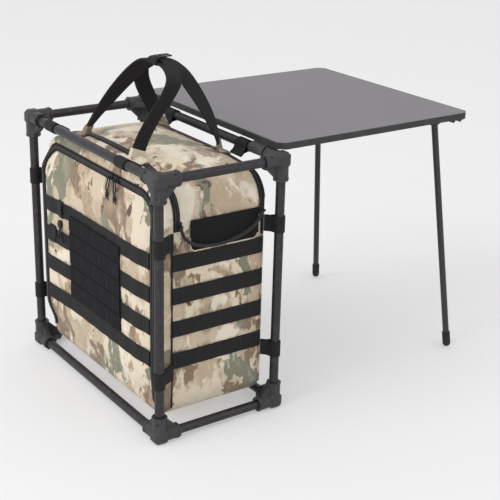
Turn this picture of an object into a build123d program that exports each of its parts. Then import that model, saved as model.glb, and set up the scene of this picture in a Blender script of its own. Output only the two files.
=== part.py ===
"""Camp kitchen table: a tube-and-hub carrying frame, a hung gear bag and a clip-on side table.

Front is -X, the bag's drop-down door. The side table hangs on the +X rails. Left is +Y.
The origin is on the floor, under the centre of the whole object.
"""
import os
from itertools import product
from math import atan2, cos, degrees, pi, radians, sin, tan

from build123d import *

os.makedirs("parts", exist_ok=True)

# ---- driving dimensions, mm -------------------------------------------------------------
# Frame
frame_width = 204.4        # front posts to table-side posts, centre to centre, along X
frame_depth = 393.0        # right posts to left posts, centre to centre, along Y
frame_height = 388.0       # bottom rails to top rails, centre to centre
tube_radius = 7.0
tube_wall = 1.4
hub_half = 11.5            # half the width of a hub's block
hub_chamfer = 4.5
facet_distance = 14.2      # hub centre to the flat that cuts its outer corner
socket_flats = 20.5        # across the flats of a hub's eight-sided socket
socket_length = 31.0       # hub centre to socket mouth
collar_length = 4.0
collar_proud = 0.7
web_thickness = 7.0        # gusset between two sockets
tube_inset = 12.2          # hub centre to the end of each tube
rivet_radius = 2.0
rivet_inset = 22.0         # hub centre to rivet
tube_fit = 0.1             # radial play of a tube in its socket

# Side table
table_length = 379.5       # near edge to far edge, along X
table_width = 386.4
table_thickness = 9.7
table_corner = 11.0        # corner chamfer
rim_width = 2.0            # edge band round the board
table_gap = 0.3            # board to hub, and clip to rail
clip_length = 34.0         # rail clip, along the rail
clip_wall = 4.0
clip_inset = 52.0          # post centre to the middle of a rail clip
clip_reach = 3.0           # how far a clip's jaws pass the rail's centre
saddle_length = 20.0       # far rail saddle
saddle_back = 14.0         # far edge of the board to the saddle's seat
saddle_inset = 23.7        # side edge of the board to the middle of a saddle
saddle_rise = 2.8          # the saddle's lips stop this far above the rail's centre
saddle_lip = 2.0           # the saddle's base is this much wider than the clip's jaws
saddle_slope = 60          # slope of the saddle's outer faces, degrees
clip_plate = 32.0          # rail's centre to the end of a clip's screw plate
clip_screw = 24.0          # rail's centre to a clip's screws
ear_length = 9.0           # screw ear at each end of a saddle
plate_thickness = 2.5      # screw plates of clips, saddles and sockets
screw_radius = 1.3
screw_head = 2.2
screw_depth = 6.0

# Legs
leg_radius = 5.3
leg_wall = 1.2
leg_back = 39.0            # far edge of the board to the top of a leg
leg_inset = 42.7           # side edge of the board to the top of a leg
leg_spread_x = 43.0        # the foot stands this far out from the leg's top, along X
leg_spread_y = 34.7        # and this far sideways
foot_radius = 6.8
foot_length = 20.0
socket_flange = 14.0       # flange radius
socket_ring = 11.3         # radius of the ring of flange screws
flange_screws = 3
boss_radius = 8.6
boss_length = 15.0
leg_fit = 0.3
leg_top_gap = 2.0          # the leg stops this far short of the board

# Bag
bag_gap_front = 12.0       # front posts' centre plane to the bag
bag_gap_table = 14.4       # table-side posts' centre plane to the bag
bag_gap_side = 15.0        # side posts' centre plane to the bag
bag_gap_floor = 18.0       # bottom rails' centre to the bag
bag_wall = 4.0             # padded wall
bag_front_radius = 20.0    # upright front corners
bag_rear_radius = 10.0     # upright rear corners
bag_foot_radius = 28.0     # lower corners, seen from the front
shoulder_drop = 66.0       # top rails' centre to where the sides begin to round over
shoulder_run = 36.0
shoulder_rise = 45.0
front_shoulder_drop = 34.0
front_shoulder_run = 27.0
front_shoulder_rise = 32.0
crown_rise = 2.0           # the crown stands above the top rails' centre by this much
rear_edge_drop = 14.0
rear_edge_step = 6.0

# Door in the bag's front
door_margin = 18.0         # side of the bag to the zip's centre
door_sill = 16.0           # bottom of the bag to the door's hinge line
door_head = 36.0           # top rails' centre to the zip's centre
door_corner = 34.0
door_gap = 0.5
zip_half = 6.5             # half the width of a zip tape
tape_thickness = 1.2
lid_zip_width = 11.0
web_height = 25.4          # standard webbing
web_pitch = 50.8
web_thick = 2.2
web_drop = 118.0           # top rails' centre to the top of the highest row
web_foot = 50.0            # door's hinge line to the lowest row, at least
side_web_start = 19.0      # bag's front to the start of a side row
patch_width = 160.0
patch_foot = 6.4           # patch's lower edge to the top of the lowest row
patch_thick = 2.0
patch_drop = 14.0          # top of the highest row to the top of the patch

# Lid
lid_front = 30.0           # bag's front to the lid's front seam
lid_rear = 6.0             # bag's rear to the lid's rear seam
lid_left = 40.0            # bag's left side to the lid's hinge seam
lid_flap_drop = 109.0      # top rails' centre to the flap's lower edge
flap_height = 38.0
flap_front = 48.0          # bag's front to the flap band
flap_thick = 1.6
backing_gap = 0.4          # backing to the row of webbing below it
band_gap = 2.0             # flap band to the rear zip tape

# Webbing loops and handles
loop_thick = 1.8
loop_height = 25.4
upper_loop_drop = 98.0     # top rails' centre to the middle of an upper post loop
lower_loop_rise = 88.5     # bottom rails' centre to the middle of a lower post loop
front_loop_angle = 25      # a front post's loop to the X axis: it runs to the side panel's seam
rail_loop_width = 28.0
front_loop_places = (-100.0, 123.5)
table_loop_places = (-103.5, 103.5)
handle_width = 25.4
handle_thick = 3.0
handle_foot = 86.0         # half the distance between a handle's feet
handle_rise = 122.0        # top rails' centre to the handles' crown
handle_apart = 27.0        # between the two crowns
handle_lean = -22.0        # the crowns lie this far to the right of the middle
handle_bend = 18.0
tab_length = 26.0
tab_thick = 1.6
wrap_length = 24.0
wrap_wall = 4.0
label_size = (50.0, 28.0, 0.8)
label_place = (90.0, 58.0)  # from the front posts and from the bag's middle

# Sliders, pulls and the keeper
slider_length = 11.0
slider_width = 8.5
slider_thick = 3.6
slider_play = 0.3
door_slider_places = (-47.0, -64.0)   # left and right slider at rest, from the bag's middle
peg_radius = 1.0
pull_peg = 4.2             # peg that carries a pull's loop
cord_peg = 5.6             # peg that carries the lid's cord
pull_diameter = 2.0
pull_length = 24.0
knot_radius = 3.6
lid_cord_diameter = 5.0
keeper_place = 108.0       # bag's middle to the keeper band
keeper_width = 14.0
keeper_height = 34.0
keeper_tab_size = (3.0, 24.0, 30.0)

# ---- places that follow from the dimensions -----------------------------------------------
leg_reach = table_length - leg_back + leg_spread_x       # table-side posts to a foot's centre
total_length = hub_half + frame_width + leg_reach + foot_radius
x_front = hub_half - total_length / 2
x_table = x_front + frame_width
x_far = x_table + table_length
y_side = frame_depth / 2
z_low = hub_half
z_top = z_low + frame_height
z_under = z_top + hub_half + table_gap                   # underside of the board
z_board = z_under + table_thickness

bag_front = x_front + bag_gap_front
bag_rear = x_table - bag_gap_table
bag_half = y_side - bag_gap_side
bag_low = z_low + bag_gap_floor
bag_mid = (bag_front + bag_rear) / 2
z_crown = z_top + crown_rise
door_half = bag_half - door_margin
z_sill = bag_low + door_sill
z_head = z_top - door_head
z_flap = z_top - lid_flap_drop
front_tape = bag_front + lid_front - 0.9 * lid_zip_width
rear_tape = bag_rear - lid_rear - 0.6 * lid_zip_width
band_start = bag_front + flap_front
band_length = rear_tape - band_gap - band_start
web_rows = 1 + int((z_top - web_drop - web_height - z_sill - web_foot) // web_pitch)
row_tops = [z_top - web_drop - web_pitch * row for row in range(web_rows)]
patch_height = row_tops[0] - patch_drop - row_tops[-1] - patch_foot
backing_height = z_flap - row_tops[0] - backing_gap
tall = 2 * frame_height                                  # longer than anything it cuts


def finish(name, piece):
    """Label a finished piece and write it."""
    piece.part.label = name
    export_step(piece.part, f"parts/{name}.step")
    return piece


# ---- frame: eight hubs, twelve tubes, rivets ----------------------------------------------
levels = {"bottom": (z_low, 1), "top": (z_top, -1)}
ends = {"front": (x_front, 1), "table": (x_table, -1)}
sides = {"right": (-y_side, 1), "left": (y_side, -1)}


def corner(level, end, side):
    """Centre of a hub, and the direction of each of its three sockets."""
    centre = Vector(ends[end][0], sides[side][0], levels[level][0])
    arms = [Vector(ends[end][1], 0, 0), Vector(0, sides[side][1], 0), Vector(0, 0, levels[level][1])]
    return centre, arms


def rivet_plane(centre, arms, arm):
    """Plane on a tube's axis that faces the socket's outer diagonal flat."""
    others = arms[0] + arms[1] + arms[2] - arm
    return Plane(origin=centre + arm * rivet_inset, z_dir=others * -1)


def make_hub(centre, arms):
    """Chamfered block with three eight-sided sockets, gussets between them and blind bores."""
    outward = (arms[0] + arms[1] + arms[2]).normalized() * -1
    with BuildPart() as hub:
        with Locations(centre):
            Box(2 * hub_half, 2 * hub_half, 2 * hub_half)
        chamfer(hub.edges(), hub_chamfer)
        for arm in arms:
            with BuildSketch(Plane(origin=centre, z_dir=arm)):
                RegularPolygon(socket_flats / 2, 8, major_radius=False, rotation=22.5)
            extrude(amount=socket_length)
            with BuildSketch(Plane(origin=centre + arm * (socket_length - collar_length), z_dir=arm)):
                RegularPolygon(socket_flats / 2 + collar_proud, 8, major_radius=False, rotation=22.5)
            extrude(amount=collar_length)
        reach = socket_length - collar_length
        step = socket_flats / 2
        for first, second in ((0, 1), (1, 2), (2, 0)):
            a, b = arms[first], arms[second]
            with BuildSketch(Plane(origin=centre, x_dir=a, z_dir=a.cross(b))):
                Polygon((0, 0), (reach, 0), (reach, step), (step, reach), (0, reach), align=None)
            extrude(amount=web_thickness / 2, both=True)
        with BuildSketch(Plane(origin=centre + outward * facet_distance, z_dir=outward)):
            Rectangle(4 * hub_half, 4 * hub_half)
        extrude(amount=hub_half, mode=Mode.SUBTRACT)
        for arm in arms:
            with BuildSketch(Plane(origin=centre + arm * tube_inset, z_dir=arm)):
                Circle(tube_radius + tube_fit)
            extrude(amount=socket_length, mode=Mode.SUBTRACT)
            with BuildSketch(rivet_plane(centre, arms, arm)):
                Circle(rivet_radius + tube_fit)
            extrude(amount=socket_length, mode=Mode.SUBTRACT)
    return hub


def make_tube(first, last, axis):
    """Round tube between two hubs, drilled for a rivet at each end."""
    start, stop = first[0], last[0]
    along = (stop - start).normalized()
    with BuildPart() as tube:
        with BuildSketch(Plane(origin=start + along * tube_inset, z_dir=along)):
            Circle(tube_radius)
            Circle(tube_radius - tube_wall, mode=Mode.SUBTRACT)
        extrude(amount=(stop - start).length - 2 * tube_inset)
        for centre, arms in (first, last):
            with BuildSketch(rivet_plane(centre, arms, arms[axis])):
                Circle(rivet_radius)
            extrude(amount=2 * tube_radius, mode=Mode.SUBTRACT)
    return tube


for level, end, side in product(levels, ends, sides):
    finish(f"hub_{level}_{end}_{side}", make_hub(*corner(level, end, side)))

for level, end in product(levels, ends):
    ends_of_tube = corner(level, end, "right"), corner(level, end, "left")
    finish(f"rail_{level}_{end}", make_tube(*ends_of_tube, axis=1))
for level, side in product(levels, sides):
    ends_of_tube = corner(level, "front", side), corner(level, "table", side)
    finish(f"rail_{level}_{side}", make_tube(*ends_of_tube, axis=0))
for end, side in product(ends, sides):
    ends_of_tube = corner("bottom", end, side), corner("top", end, side)
    finish(f"post_{end}_{side}", make_tube(*ends_of_tube, axis=2))

with BuildPart() as hub_rivets:
    for place in product(levels, ends, sides):
        centre, arms = corner(*place)
        for arm in arms:
            with BuildSketch(rivet_plane(centre, arms, arm).offset(tube_radius - tube_wall)):
                Circle(rivet_radius)
            extrude(amount=socket_flats / 2 - tube_radius + tube_wall - 0.8)
finish("hub_rivets", hub_rivets)


# ---- bag: one closed form, cut into body, lid and trim ------------------------------------
def bag_form(inset):
    """The bag's outer form drawn in by inset: rounded plan, both upright profiles domed."""
    front, rear, half = bag_front, bag_rear, bag_half
    side_top, front_top = z_top - shoulder_drop, z_top - front_shoulder_drop
    with BuildPart() as form:
        with BuildSketch(Plane.XY.offset(bag_low + inset)):
            with Locations((bag_mid, 0)):
                plan = Rectangle(rear - front, 2 * half)
            fillet(plan.vertices().group_by(Axis.X)[0], bag_front_radius)
            fillet(plan.vertices().group_by(Axis.X)[-1], bag_rear_radius)
            if inset:
                offset(amount=-inset)
        extrude(amount=frame_height)
        with BuildSketch(Plane.YZ.offset(bag_mid)):
            with BuildLine():
                floor = bag_low + inset
                FilletPolyline((-half, side_top), (-half, floor), (half, floor), (half, side_top),
                               radius=bag_foot_radius)
                knee = half - shoulder_run, side_top + shoulder_rise
                TangentArc((-half, side_top), (-knee[0], knee[1]), tangent=(0, 1))
                TangentArc((half, side_top), knee, tangent=(0, 1))
                ThreePointArc((-knee[0], knee[1]), (0, z_crown), knee)
            make_face()
            if inset:
                offset(amount=-inset)
        extrude(amount=frame_width, both=True, mode=Mode.INTERSECT)
        with BuildSketch(Plane.XZ):
            with BuildLine():
                brow = front + front_shoulder_run, front_top + front_shoulder_rise
                back = rear - rear_edge_step, z_top - rear_edge_drop
                Polyline((front, front_top), (front, 0), (rear, 0), (rear, back[1] - rear_edge_step), back)
                TangentArc((front, front_top), brow, tangent=(0, 1))
                ThreePointArc(brow, (bag_mid, z_crown + crown_rise), back)
            make_face()
            if inset:
                offset(amount=-inset)
        extrude(amount=frame_depth, both=True, mode=Mode.INTERSECT)
    return form.part


def door_outline(grow):
    """The door's outline on its own face, grown by grow: square below, rounded above."""
    half, high, low = door_half + grow, z_head + grow, z_sill
    outline = Rectangle(2 * half, high - low, align=(Align.CENTER, Align.MIN))
    fillet(outline.vertices().group_by(Axis.Y)[-1], door_corner + grow)


def lid_outline(low):
    """End view of the lid: over the top, and down the right side to the height low."""
    outer, inner = -bag_half - shoulder_run, -bag_half + shoulder_run / 2
    left, under = bag_half - lid_left, z_top - shoulder_run - shoulder_rise / 2
    Polygon((outer, low), (inner, low), (inner, under), (left, under), (left, tall), (outer, tall),
            align=None)


outer_form = bag_form(0)
inner_form = bag_form(bag_wall)
door_plane = Plane(origin=(bag_front, 0, z_sill), x_dir=(0, -1, 0), z_dir=(-1, 0, 0))

with BuildPart() as lid_space:
    with BuildSketch(Plane.YZ.offset(bag_front + lid_front)):
        lid_outline(z_flap + flap_height / 2)
    extrude(amount=bag_rear - lid_rear - bag_front - lid_front)

with BuildPart() as bag_body:
    add(outer_form)
    add(inner_form, mode=Mode.SUBTRACT)
    add(lid_space.part, mode=Mode.SUBTRACT)
    with BuildSketch(door_plane):
        door_outline(0)
    extrude(amount=2 * bag_wall, both=True, mode=Mode.SUBTRACT)
finish("bag_body", bag_body)

with BuildPart() as bag_lid:
    add(lid_space.part)
    add(outer_form, mode=Mode.INTERSECT)
    add(inner_form, mode=Mode.SUBTRACT)
finish("bag_lid", bag_lid)


def skin(thickness):
    """A thin layer lying on the bag, from which sewn-on trim is cut."""
    return bag_form(-thickness) - outer_form


# Zip tapes of the lid: along its front and rear seams and down the right side
with BuildPart() as lid_zips:
    for first in (front_tape, rear_tape):
        with BuildSketch(Plane.YZ.offset(first)):
            lid_outline(z_flap + flap_height / 2 + 6)
        extrude(amount=lid_zip_width)
    add(skin(tape_thickness), mode=Mode.INTERSECT)
finish("lid_zips", lid_zips)

with BuildPart() as flap_band:
    with BuildSketch(Plane.XZ):
        with Locations((band_start, z_flap)):
            Rectangle(band_length, flap_height, align=Align.MIN)
    extrude(amount=frame_depth)
    add(skin(flap_thick), mode=Mode.INTERSECT)
finish("flap_band", flap_band)

with BuildPart() as flap_backing:
    with BuildSketch(Plane.XZ):
        with Locations((band_start, z_flap)):
            backing = Rectangle(band_length, backing_height, align=(Align.MIN, Align.MAX))
        fillet(backing.vertices().group_by(Axis.Y)[0], backing_height / 2)
    extrude(amount=frame_depth)
    add(skin(tape_thickness), mode=Mode.INTERSECT)
finish("flap_backing", flap_backing)

# Four rows of webbing on each side, hugging the rear corner
with BuildPart() as side_webbing:
    for top in row_tops:
        with BuildSketch(Plane.XZ):
            with Locations((bag_front + side_web_start, top)):
                Rectangle(frame_width, web_height, align=(Align.MIN, Align.MAX))
        extrude(amount=frame_depth, both=True)
    with BuildSketch(Plane.XY):
        with Locations((bag_rear - bag_rear_radius / 2, 0)):
            Rectangle(frame_width, frame_depth - 2 * (bag_gap_side + bag_rear_radius),
                      align=(Align.CENTER, Align.CENTER))
        with Locations((bag_rear - bag_rear_radius / 2, 0)):
            Rectangle(frame_width, 2 * frame_depth, align=(Align.MIN, Align.CENTER))
    extrude(amount=tall, mode=Mode.SUBTRACT)
    add(skin(web_thick), mode=Mode.INTERSECT)
finish("side_webbing", side_webbing)


# ---- the door: padded panel, zip, webbing, patch -------------------------------------------
with BuildPart() as front_door:
    with BuildSketch(door_plane):
        door_outline(-door_gap)
    extrude(amount=-bag_wall)
    with BuildSketch(door_plane):
        Rectangle(frame_depth, door_gap, align=(Align.CENTER, Align.MIN))
    extrude(amount=-2 * bag_wall, mode=Mode.SUBTRACT)
finish("front_door", front_door)

with BuildPart() as door_zip_inner:
    with BuildSketch(door_plane):
        door_outline(-door_gap)
        with BuildSketch(mode=Mode.SUBTRACT):
            door_outline(-zip_half)
    extrude(amount=tape_thickness)
    with BuildSketch(door_plane):
        Rectangle(frame_depth, 2 * door_gap, align=(Align.CENTER, Align.MIN))
    extrude(amount=tape_thickness, mode=Mode.SUBTRACT)
finish("door_zip_inner", door_zip_inner)

with BuildPart() as door_zip_outer:
    with BuildSketch(door_plane):
        door_outline(zip_half)
        with BuildSketch(mode=Mode.SUBTRACT):
            door_outline(0)
    extrude(amount=frame_width, both=True)
    add(skin(tape_thickness), mode=Mode.INTERSECT)
    with BuildSketch(Plane.YZ.offset(bag_mid)):
        Rectangle(frame_depth, tall)
    extrude(amount=frame_width, mode=Mode.SUBTRACT)
finish("door_zip_outer", door_zip_outer)

with BuildPart() as door_webbing:
    for top in row_tops:
        with BuildSketch(door_plane):
            with Locations((0, top - z_sill)):
                Rectangle(2 * (door_half - zip_half), web_height, align=(Align.CENTER, Align.MAX))
        extrude(amount=web_thick)
finish("door_webbing", door_webbing)

with BuildPart() as door_patch:
    with BuildSketch(door_plane.offset(web_thick)):
        with Locations((0, row_tops[0] - patch_drop - z_sill)):
            Rectangle(patch_width, patch_height, align=(Align.CENTER, Align.MAX))
    extrude(amount=patch_thick)
finish("door_patch", door_patch)

# Keeper band round the top row, and the webbing tab that hangs below it
keeper_plane = door_plane.offset(web_thick)
with BuildPart() as keeper_band:
    with BuildSketch(keeper_plane):
        with Locations((-keeper_place, row_tops[0] + 3 - z_sill)):
            RectangleRounded(keeper_width, keeper_height, 3, align=(Align.CENTER, Align.MAX))
    extrude(amount=web_thick)
finish("keeper_band", keeper_band)

with BuildPart() as keeper_tab:
    with BuildSketch(keeper_plane):
        with Locations((-keeper_place - 2 * keeper_width, row_tops[1] + 6 - z_sill)):
            RectangleRounded(keeper_tab_size[1], keeper_tab_size[2], 6, align=(Align.CENTER, Align.MAX))
    extrude(amount=keeper_tab_size[0])
finish("keeper_tab", keeper_tab)


# ---- sliders and cords ----------------------------------------------------------------------
def cord_solid(name, points, diameter):
    """Tube along straight runs joined by tangent arcs, each as large as its two runs allow."""
    points = [Vector(*point) for point in points]
    radii = []
    for before, here, after in zip(points, points[1:], points[2:]):
        run_in, run_out = here - before, after - here
        half_turn = radians(run_in.get_angle(run_out)) / 2
        radii.append(0.45 * min(run_in.length, run_out.length) / tan(half_turn))
    with BuildPart() as cord:
        with BuildLine() as route:
            FilletPolyline(*points, radius=radii)
        with BuildSketch(Plane(origin=route.line @ 0, z_dir=route.line % 0)):
            Circle(diameter / 2)
        sweep()
    length = route.wire().length
    expected = pi * (diameter / 2) ** 2 * length
    print(f"{name}: length {length:.1f}, radii {[round(r, 1) for r in radii]}, "
          f"volume over section times length {cord.part.volume / expected:.4f}")
    return finish(name, cord)


def make_slider(plane, peg):
    """Zip slider lying on a plane, with a headed peg of length peg standing out of its middle."""
    with BuildPart() as slider:
        with BuildSketch(plane):
            RectangleRounded(slider_length, slider_width, 2.5)
        extrude(amount=slider_thick)
        chamfer(slider.faces().sort_by(Axis(plane.origin, plane.z_dir))[-1].edges(), 0.8)
        with BuildSketch(plane.offset(slider_thick)):
            Circle(peg_radius)
        extrude(amount=peg)
        with BuildSketch(plane.offset(slider_thick + peg)):
            Circle(2 * peg_radius)
        extrude(amount=peg_radius)
    return slider


slide_face = tape_thickness + slider_play
loop_x = bag_front - slide_face - slider_thick - pull_peg / 2
for side, place, lean in (("left", door_slider_places[0], 7.0), ("right", door_slider_places[1], 1.5)):
    on_zip = Plane(origin=(bag_front - slide_face, place, z_head), x_dir=(0, -1, 0), z_dir=(-1, 0, 0))
    finish(f"door_slider_{side}", make_slider(on_zip, pull_peg))
    top, low = z_head + peg_radius + pull_diameter / 2 + 0.1, z_head - pull_length
    bow = pull_diameter * 1.6
    finish_y = place + lean
    cord_solid(f"door_pull_{side}", [
        (loop_x, finish_y + 1.2, low),
        (loop_x, finish_y + bow, low + 6),
        (loop_x, place + lean / 2 + bow, low + 13),
        (loop_x, place + bow - 0.4, top - 5),
        (loop_x, place + 1.7, top),
        (loop_x, place - 1.7, top),
        (loop_x, place - bow + 0.4, top - 5),
        (loop_x, place + lean / 2 - bow, low + 13),
        (loop_x, finish_y - bow, low + 6),
        (loop_x, finish_y - 1.2, low),
    ], pull_diameter)
    with BuildPart() as knot:
        with BuildSketch(Plane.YZ.offset(loop_x).shift_origin((loop_x, finish_y, low - knot_radius))):
            RectangleRounded(2 * knot_radius, 2 * knot_radius, 2.4)
            with Locations((-1.9, -knot_radius - 2.5), (1.9, -knot_radius - 2.5)):
                Rectangle(pull_diameter, 7)
        extrude(amount=pull_diameter, both=True)
    finish(f"door_knot_{side}", knot)

# The lid's two sliders stand on the right side, joined by one hanging cord
lid_slider_x = bag_front + lid_front - 2, bag_rear - lid_rear - 4
lid_slider_z = z_top - 74.0
with BuildPart() as lid_sliders:
    for x in lid_slider_x:
        rest = Plane(origin=(x, -bag_half - slide_face, lid_slider_z), x_dir=(0, 0, 1), z_dir=(0, -1, 0))
        add(make_slider(rest, cord_peg).part)
finish("lid_sliders", lid_sliders)

hang_y = -bag_half - slide_face - slider_thick - cord_peg / 2
hang_from = lid_slider_z - peg_radius
cord_solid("lid_cord", [
    (lid_slider_x[0], hang_y, hang_from),
    (lid_slider_x[0] + 1.5, hang_y - 0.6, hang_from - 11),
    (lid_slider_x[0] + 9, hang_y - 1.2, hang_from - 22),
    (lid_slider_x[0] + 24, hang_y - 1.6, hang_from - 31),
    (lid_slider_x[0] + 46, hang_y - 1.8, hang_from - 36),
    (lid_slider_x[0] + 71, hang_y - 1.6, hang_from - 36.5),
    (lid_slider_x[0] + 95, hang_y - 1.4, hang_from - 32),
    (lid_slider_x[1] - 23, hang_y - 1.2, hang_from - 24),
    (lid_slider_x[1] - 7, hang_y - 0.8, hang_from - 13),
    (lid_slider_x[1], hang_y, hang_from),
], lid_cord_diameter)


# ---- webbing loops, handles, label ----------------------------------------------------------
def loop_outline(centre, angle, tail):
    """Strap round a tube with its two plies running off at an angle."""
    with Locations(centre):
        Circle(tube_radius + tube_fit + loop_thick)
        Rectangle(tail, 2 * loop_thick, rotation=angle, align=(Align.MIN, Align.CENTER))
        Circle(tube_radius + tube_fit, mode=Mode.SUBTRACT)


with BuildPart() as post_loops:
    for end, side in product(ends, sides):
        (x, along_x), (y, along_y) = ends[end], sides[side]
        slant = tan(radians(front_loop_angle)) if end == "front" else 1
        towards_bag = degrees(atan2(slant * along_y, along_x))
        for middle in (z_top - upper_loop_drop, z_low + lower_loop_rise):
            with BuildSketch(Plane.XY.offset(middle - loop_height / 2)):
                loop_outline((x, y), towards_bag, 2.4 * bag_gap_side)
            extrude(amount=loop_height)
    add(outer_form, mode=Mode.SUBTRACT)
    add(side_webbing.part, mode=Mode.SUBTRACT)
finish("post_loops", post_loops)

tab_layer = skin(tab_thick)
handle_feet = bag_front + lid_front - 10, bag_rear - lid_rear - 4
full_arm = (-1.0, 0.0), (-1.04, 0.55), (-0.92, 0.93)      # shares of a foot's distance and of the rise
taut_arm = (0.42, 0.70), (0.78, 0.33), (1.0, 0.0)
with BuildPart() as handle_tabs:
    for x, y in product(handle_feet, (-handle_foot, handle_foot)):
        with Locations((x, y, z_top)):
            Box(tab_length, handle_width + 3, 4 * shoulder_run)
    add(tab_layer, mode=Mode.INTERSECT)
    add(lid_zips.part, mode=Mode.SUBTRACT)
finish("handle_tabs", handle_tabs)

handle_clear = bag_form(-tab_thick)
handle_parts = []
upright_arm = (0.80, 0.86), (1.0, 0.45), (1.0, 0.0)
for name, foot_x, sign, left_arm in (("handle_front", handle_feet[0], -1, taut_arm),
                                     ("handle_rear", handle_feet[1], 1, upright_arm)):
    foot = Vector(foot_x, 0, z_top - 10)
    crown = Vector(bag_mid + sign * handle_apart / 2, 0, z_top + handle_rise)
    rise = (crown - foot).length
    lean = Plane(origin=foot, x_dir=(0, 1, 0), z_dir=Vector(0, 1, 0).cross(crown - foot))
    with BuildPart() as handle:
        with BuildLine(lean) as arch:
            crown_ends = (handle_lean - wrap_length, rise), (handle_lean + wrap_length, rise)
            right_side, left_side = ([(share * handle_foot, height * rise) for share, height in arm]
                                     for arm in (full_arm, left_arm))
            FilletPolyline(*right_side, *crown_ends, *left_side, radius=handle_bend)
        with BuildSketch(Plane(origin=arch.line @ 0, x_dir=lean.z_dir, z_dir=arch.line % 0)):
            Rectangle(handle_width, handle_thick)
        sweep()
        add(handle_clear, mode=Mode.SUBTRACT)
    handle_parts.append(finish(name, handle).part)

with BuildPart() as rail_loops:
    for x, places, angle in ((x_front, front_loop_places, -12), (x_table, table_loop_places, -140)):
        for y in places:
            with BuildSketch(Plane.XZ.offset(-y - rail_loop_width / 2)):
                loop_outline((x, z_top), angle, 2.4 * bag_gap_front)
            extrude(amount=rail_loop_width)
    add(outer_form, mode=Mode.SUBTRACT)
    for neighbour in (lid_zips.part, handle_tabs.part, *handle_parts):
        add(neighbour, mode=Mode.SUBTRACT)
finish("rail_loops", rail_loops)

with BuildPart() as handle_wrap:
    with Locations((bag_mid, handle_lean, z_top + handle_rise)):
        Box(handle_apart + handle_width, wrap_length, handle_width / 2 + 2 * wrap_wall)
    chamfer(handle_wrap.edges().filter_by(Axis.Y), wrap_wall)
    for handle in handle_parts:
        add(handle, mode=Mode.SUBTRACT)
finish("handle_wrap", handle_wrap)

with BuildPart() as lid_label:
    with Locations((x_front + label_place[0], label_place[1], z_top)):
        Box(label_size[0], label_size[1], 2 * shoulder_run)
    add(skin(label_size[2]), mode=Mode.INTERSECT)
finish("lid_label", lid_label)


# ---- side table: board, rim, clips, saddles, sockets, screws ---------------------------------
board_middle = x_table + table_length / 2
clip_rows = (-y_side + clip_inset, y_side - clip_inset)
saddle_x = x_far - saddle_back
saddle_rows = (-table_width / 2 + saddle_inset, table_width / 2 - saddle_inset)
leg_tops = [Vector(x_far - leg_back, side * (table_width / 2 - leg_inset), z_under) for side in (-1, 1)]
leg_feet = [top + Vector(leg_spread_x, side * leg_spread_y, foot_radius - z_under)
            for top, side in zip(leg_tops, (-1, 1))]
clip_screws = [(x_table + clip_screw, y + sign * clip_length / 3) for y in clip_rows for sign in (-1, 1)]
ear_screws = [(saddle_x, y + sign * (saddle_length + ear_length) / 2)
              for y in saddle_rows for sign in (-1, 1)]
flange_turns = [2 * pi * step / flange_screws for step in range(flange_screws)]
socket_screws = [(top.X + socket_ring * cos(turn), top.Y + socket_ring * sin(turn))
                 for top, turn in product(leg_tops, flange_turns)]
screw_places = clip_screws + ear_screws + socket_screws


def board_outline(inset):
    """Rectangle with chamfered corners, drawn in by inset."""
    with Locations((board_middle, 0)):
        outline = Rectangle(table_length - 2 * inset, table_width - 2 * inset)
    chamfer(outline.vertices(), table_corner - inset * tan(radians(22.5)))


with BuildPart() as table_board:
    with BuildSketch(Plane.XY.offset(z_under)):
        board_outline(rim_width)
    extrude(amount=table_thickness)
    with BuildSketch(Plane.XY.offset(z_under)):
        with Locations(*screw_places):
            Circle(screw_radius)
    extrude(amount=screw_depth, mode=Mode.SUBTRACT)
finish("table_board", table_board)

with BuildPart() as table_rim:
    with BuildSketch(Plane.XY.offset(z_under)):
        board_outline(0)
        with BuildSketch(mode=Mode.SUBTRACT):
            board_outline(rim_width)
    extrude(amount=table_thickness)
    outer_edges = table_rim.faces().sort_by(Axis.Z)[-1].outer_wire().edges()
    chamfer(outer_edges, rim_width / 2)
finish("table_rim", table_rim)

seat = tube_radius + table_gap
with BuildPart() as rail_clips:
    for y in clip_rows:
        with BuildSketch(Plane.XZ.offset(-y - clip_length / 2)):
            with Locations((x_table, z_top)):
                Circle(seat + clip_wall)
                Rectangle(2 * (seat + clip_wall), clip_reach, align=(Align.CENTER, Align.MAX))
                Rectangle(clip_plate, z_under - z_top, align=Align.MIN)
                with Locations((seat + clip_wall, 0)):
                    Rectangle(clip_plate, z_under - z_top - plate_thickness, align=Align.MIN,
                              mode=Mode.SUBTRACT)
                with Locations((0, -clip_reach)):
                    Rectangle(tall, tall, align=(Align.CENTER, Align.MAX), mode=Mode.SUBTRACT)
                Circle(seat, mode=Mode.SUBTRACT)
                Rectangle(2 * seat, 2 * seat, align=(Align.CENTER, Align.MAX), mode=Mode.SUBTRACT)
        extrude(amount=clip_length)
    with BuildSketch(Plane.XY.offset(z_under)):
        with Locations(*clip_screws):
            Circle(screw_radius + tube_fit)
    extrude(amount=-plate_thickness, mode=Mode.SUBTRACT)
finish("rail_clips", rail_clips)

with BuildPart() as rail_saddles:
    for y in saddle_rows:
        with BuildSketch(Plane.XZ.offset(-y - saddle_length / 2)):
            with Locations((saddle_x, z_top)):
                with Locations((0, saddle_rise)):
                    Trapezoid(2 * (seat + clip_wall + saddle_lip), z_under - z_top - saddle_rise,
                              saddle_slope, rotation=180, align=(Align.CENTER, Align.MAX))
                Circle(seat, mode=Mode.SUBTRACT)
        extrude(amount=saddle_length)
        with BuildSketch(Plane.XY.offset(z_under)):
            with Locations((saddle_x, y)):
                Rectangle(1.2 * seat, saddle_length + 2 * ear_length)
        extrude(amount=-plate_thickness)
    with BuildSketch(Plane.XY.offset(z_under)):
        with Locations(*ear_screws):
            Circle(screw_radius + tube_fit)
    extrude(amount=-plate_thickness, mode=Mode.SUBTRACT)
finish("rail_saddles", rail_saddles)

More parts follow.
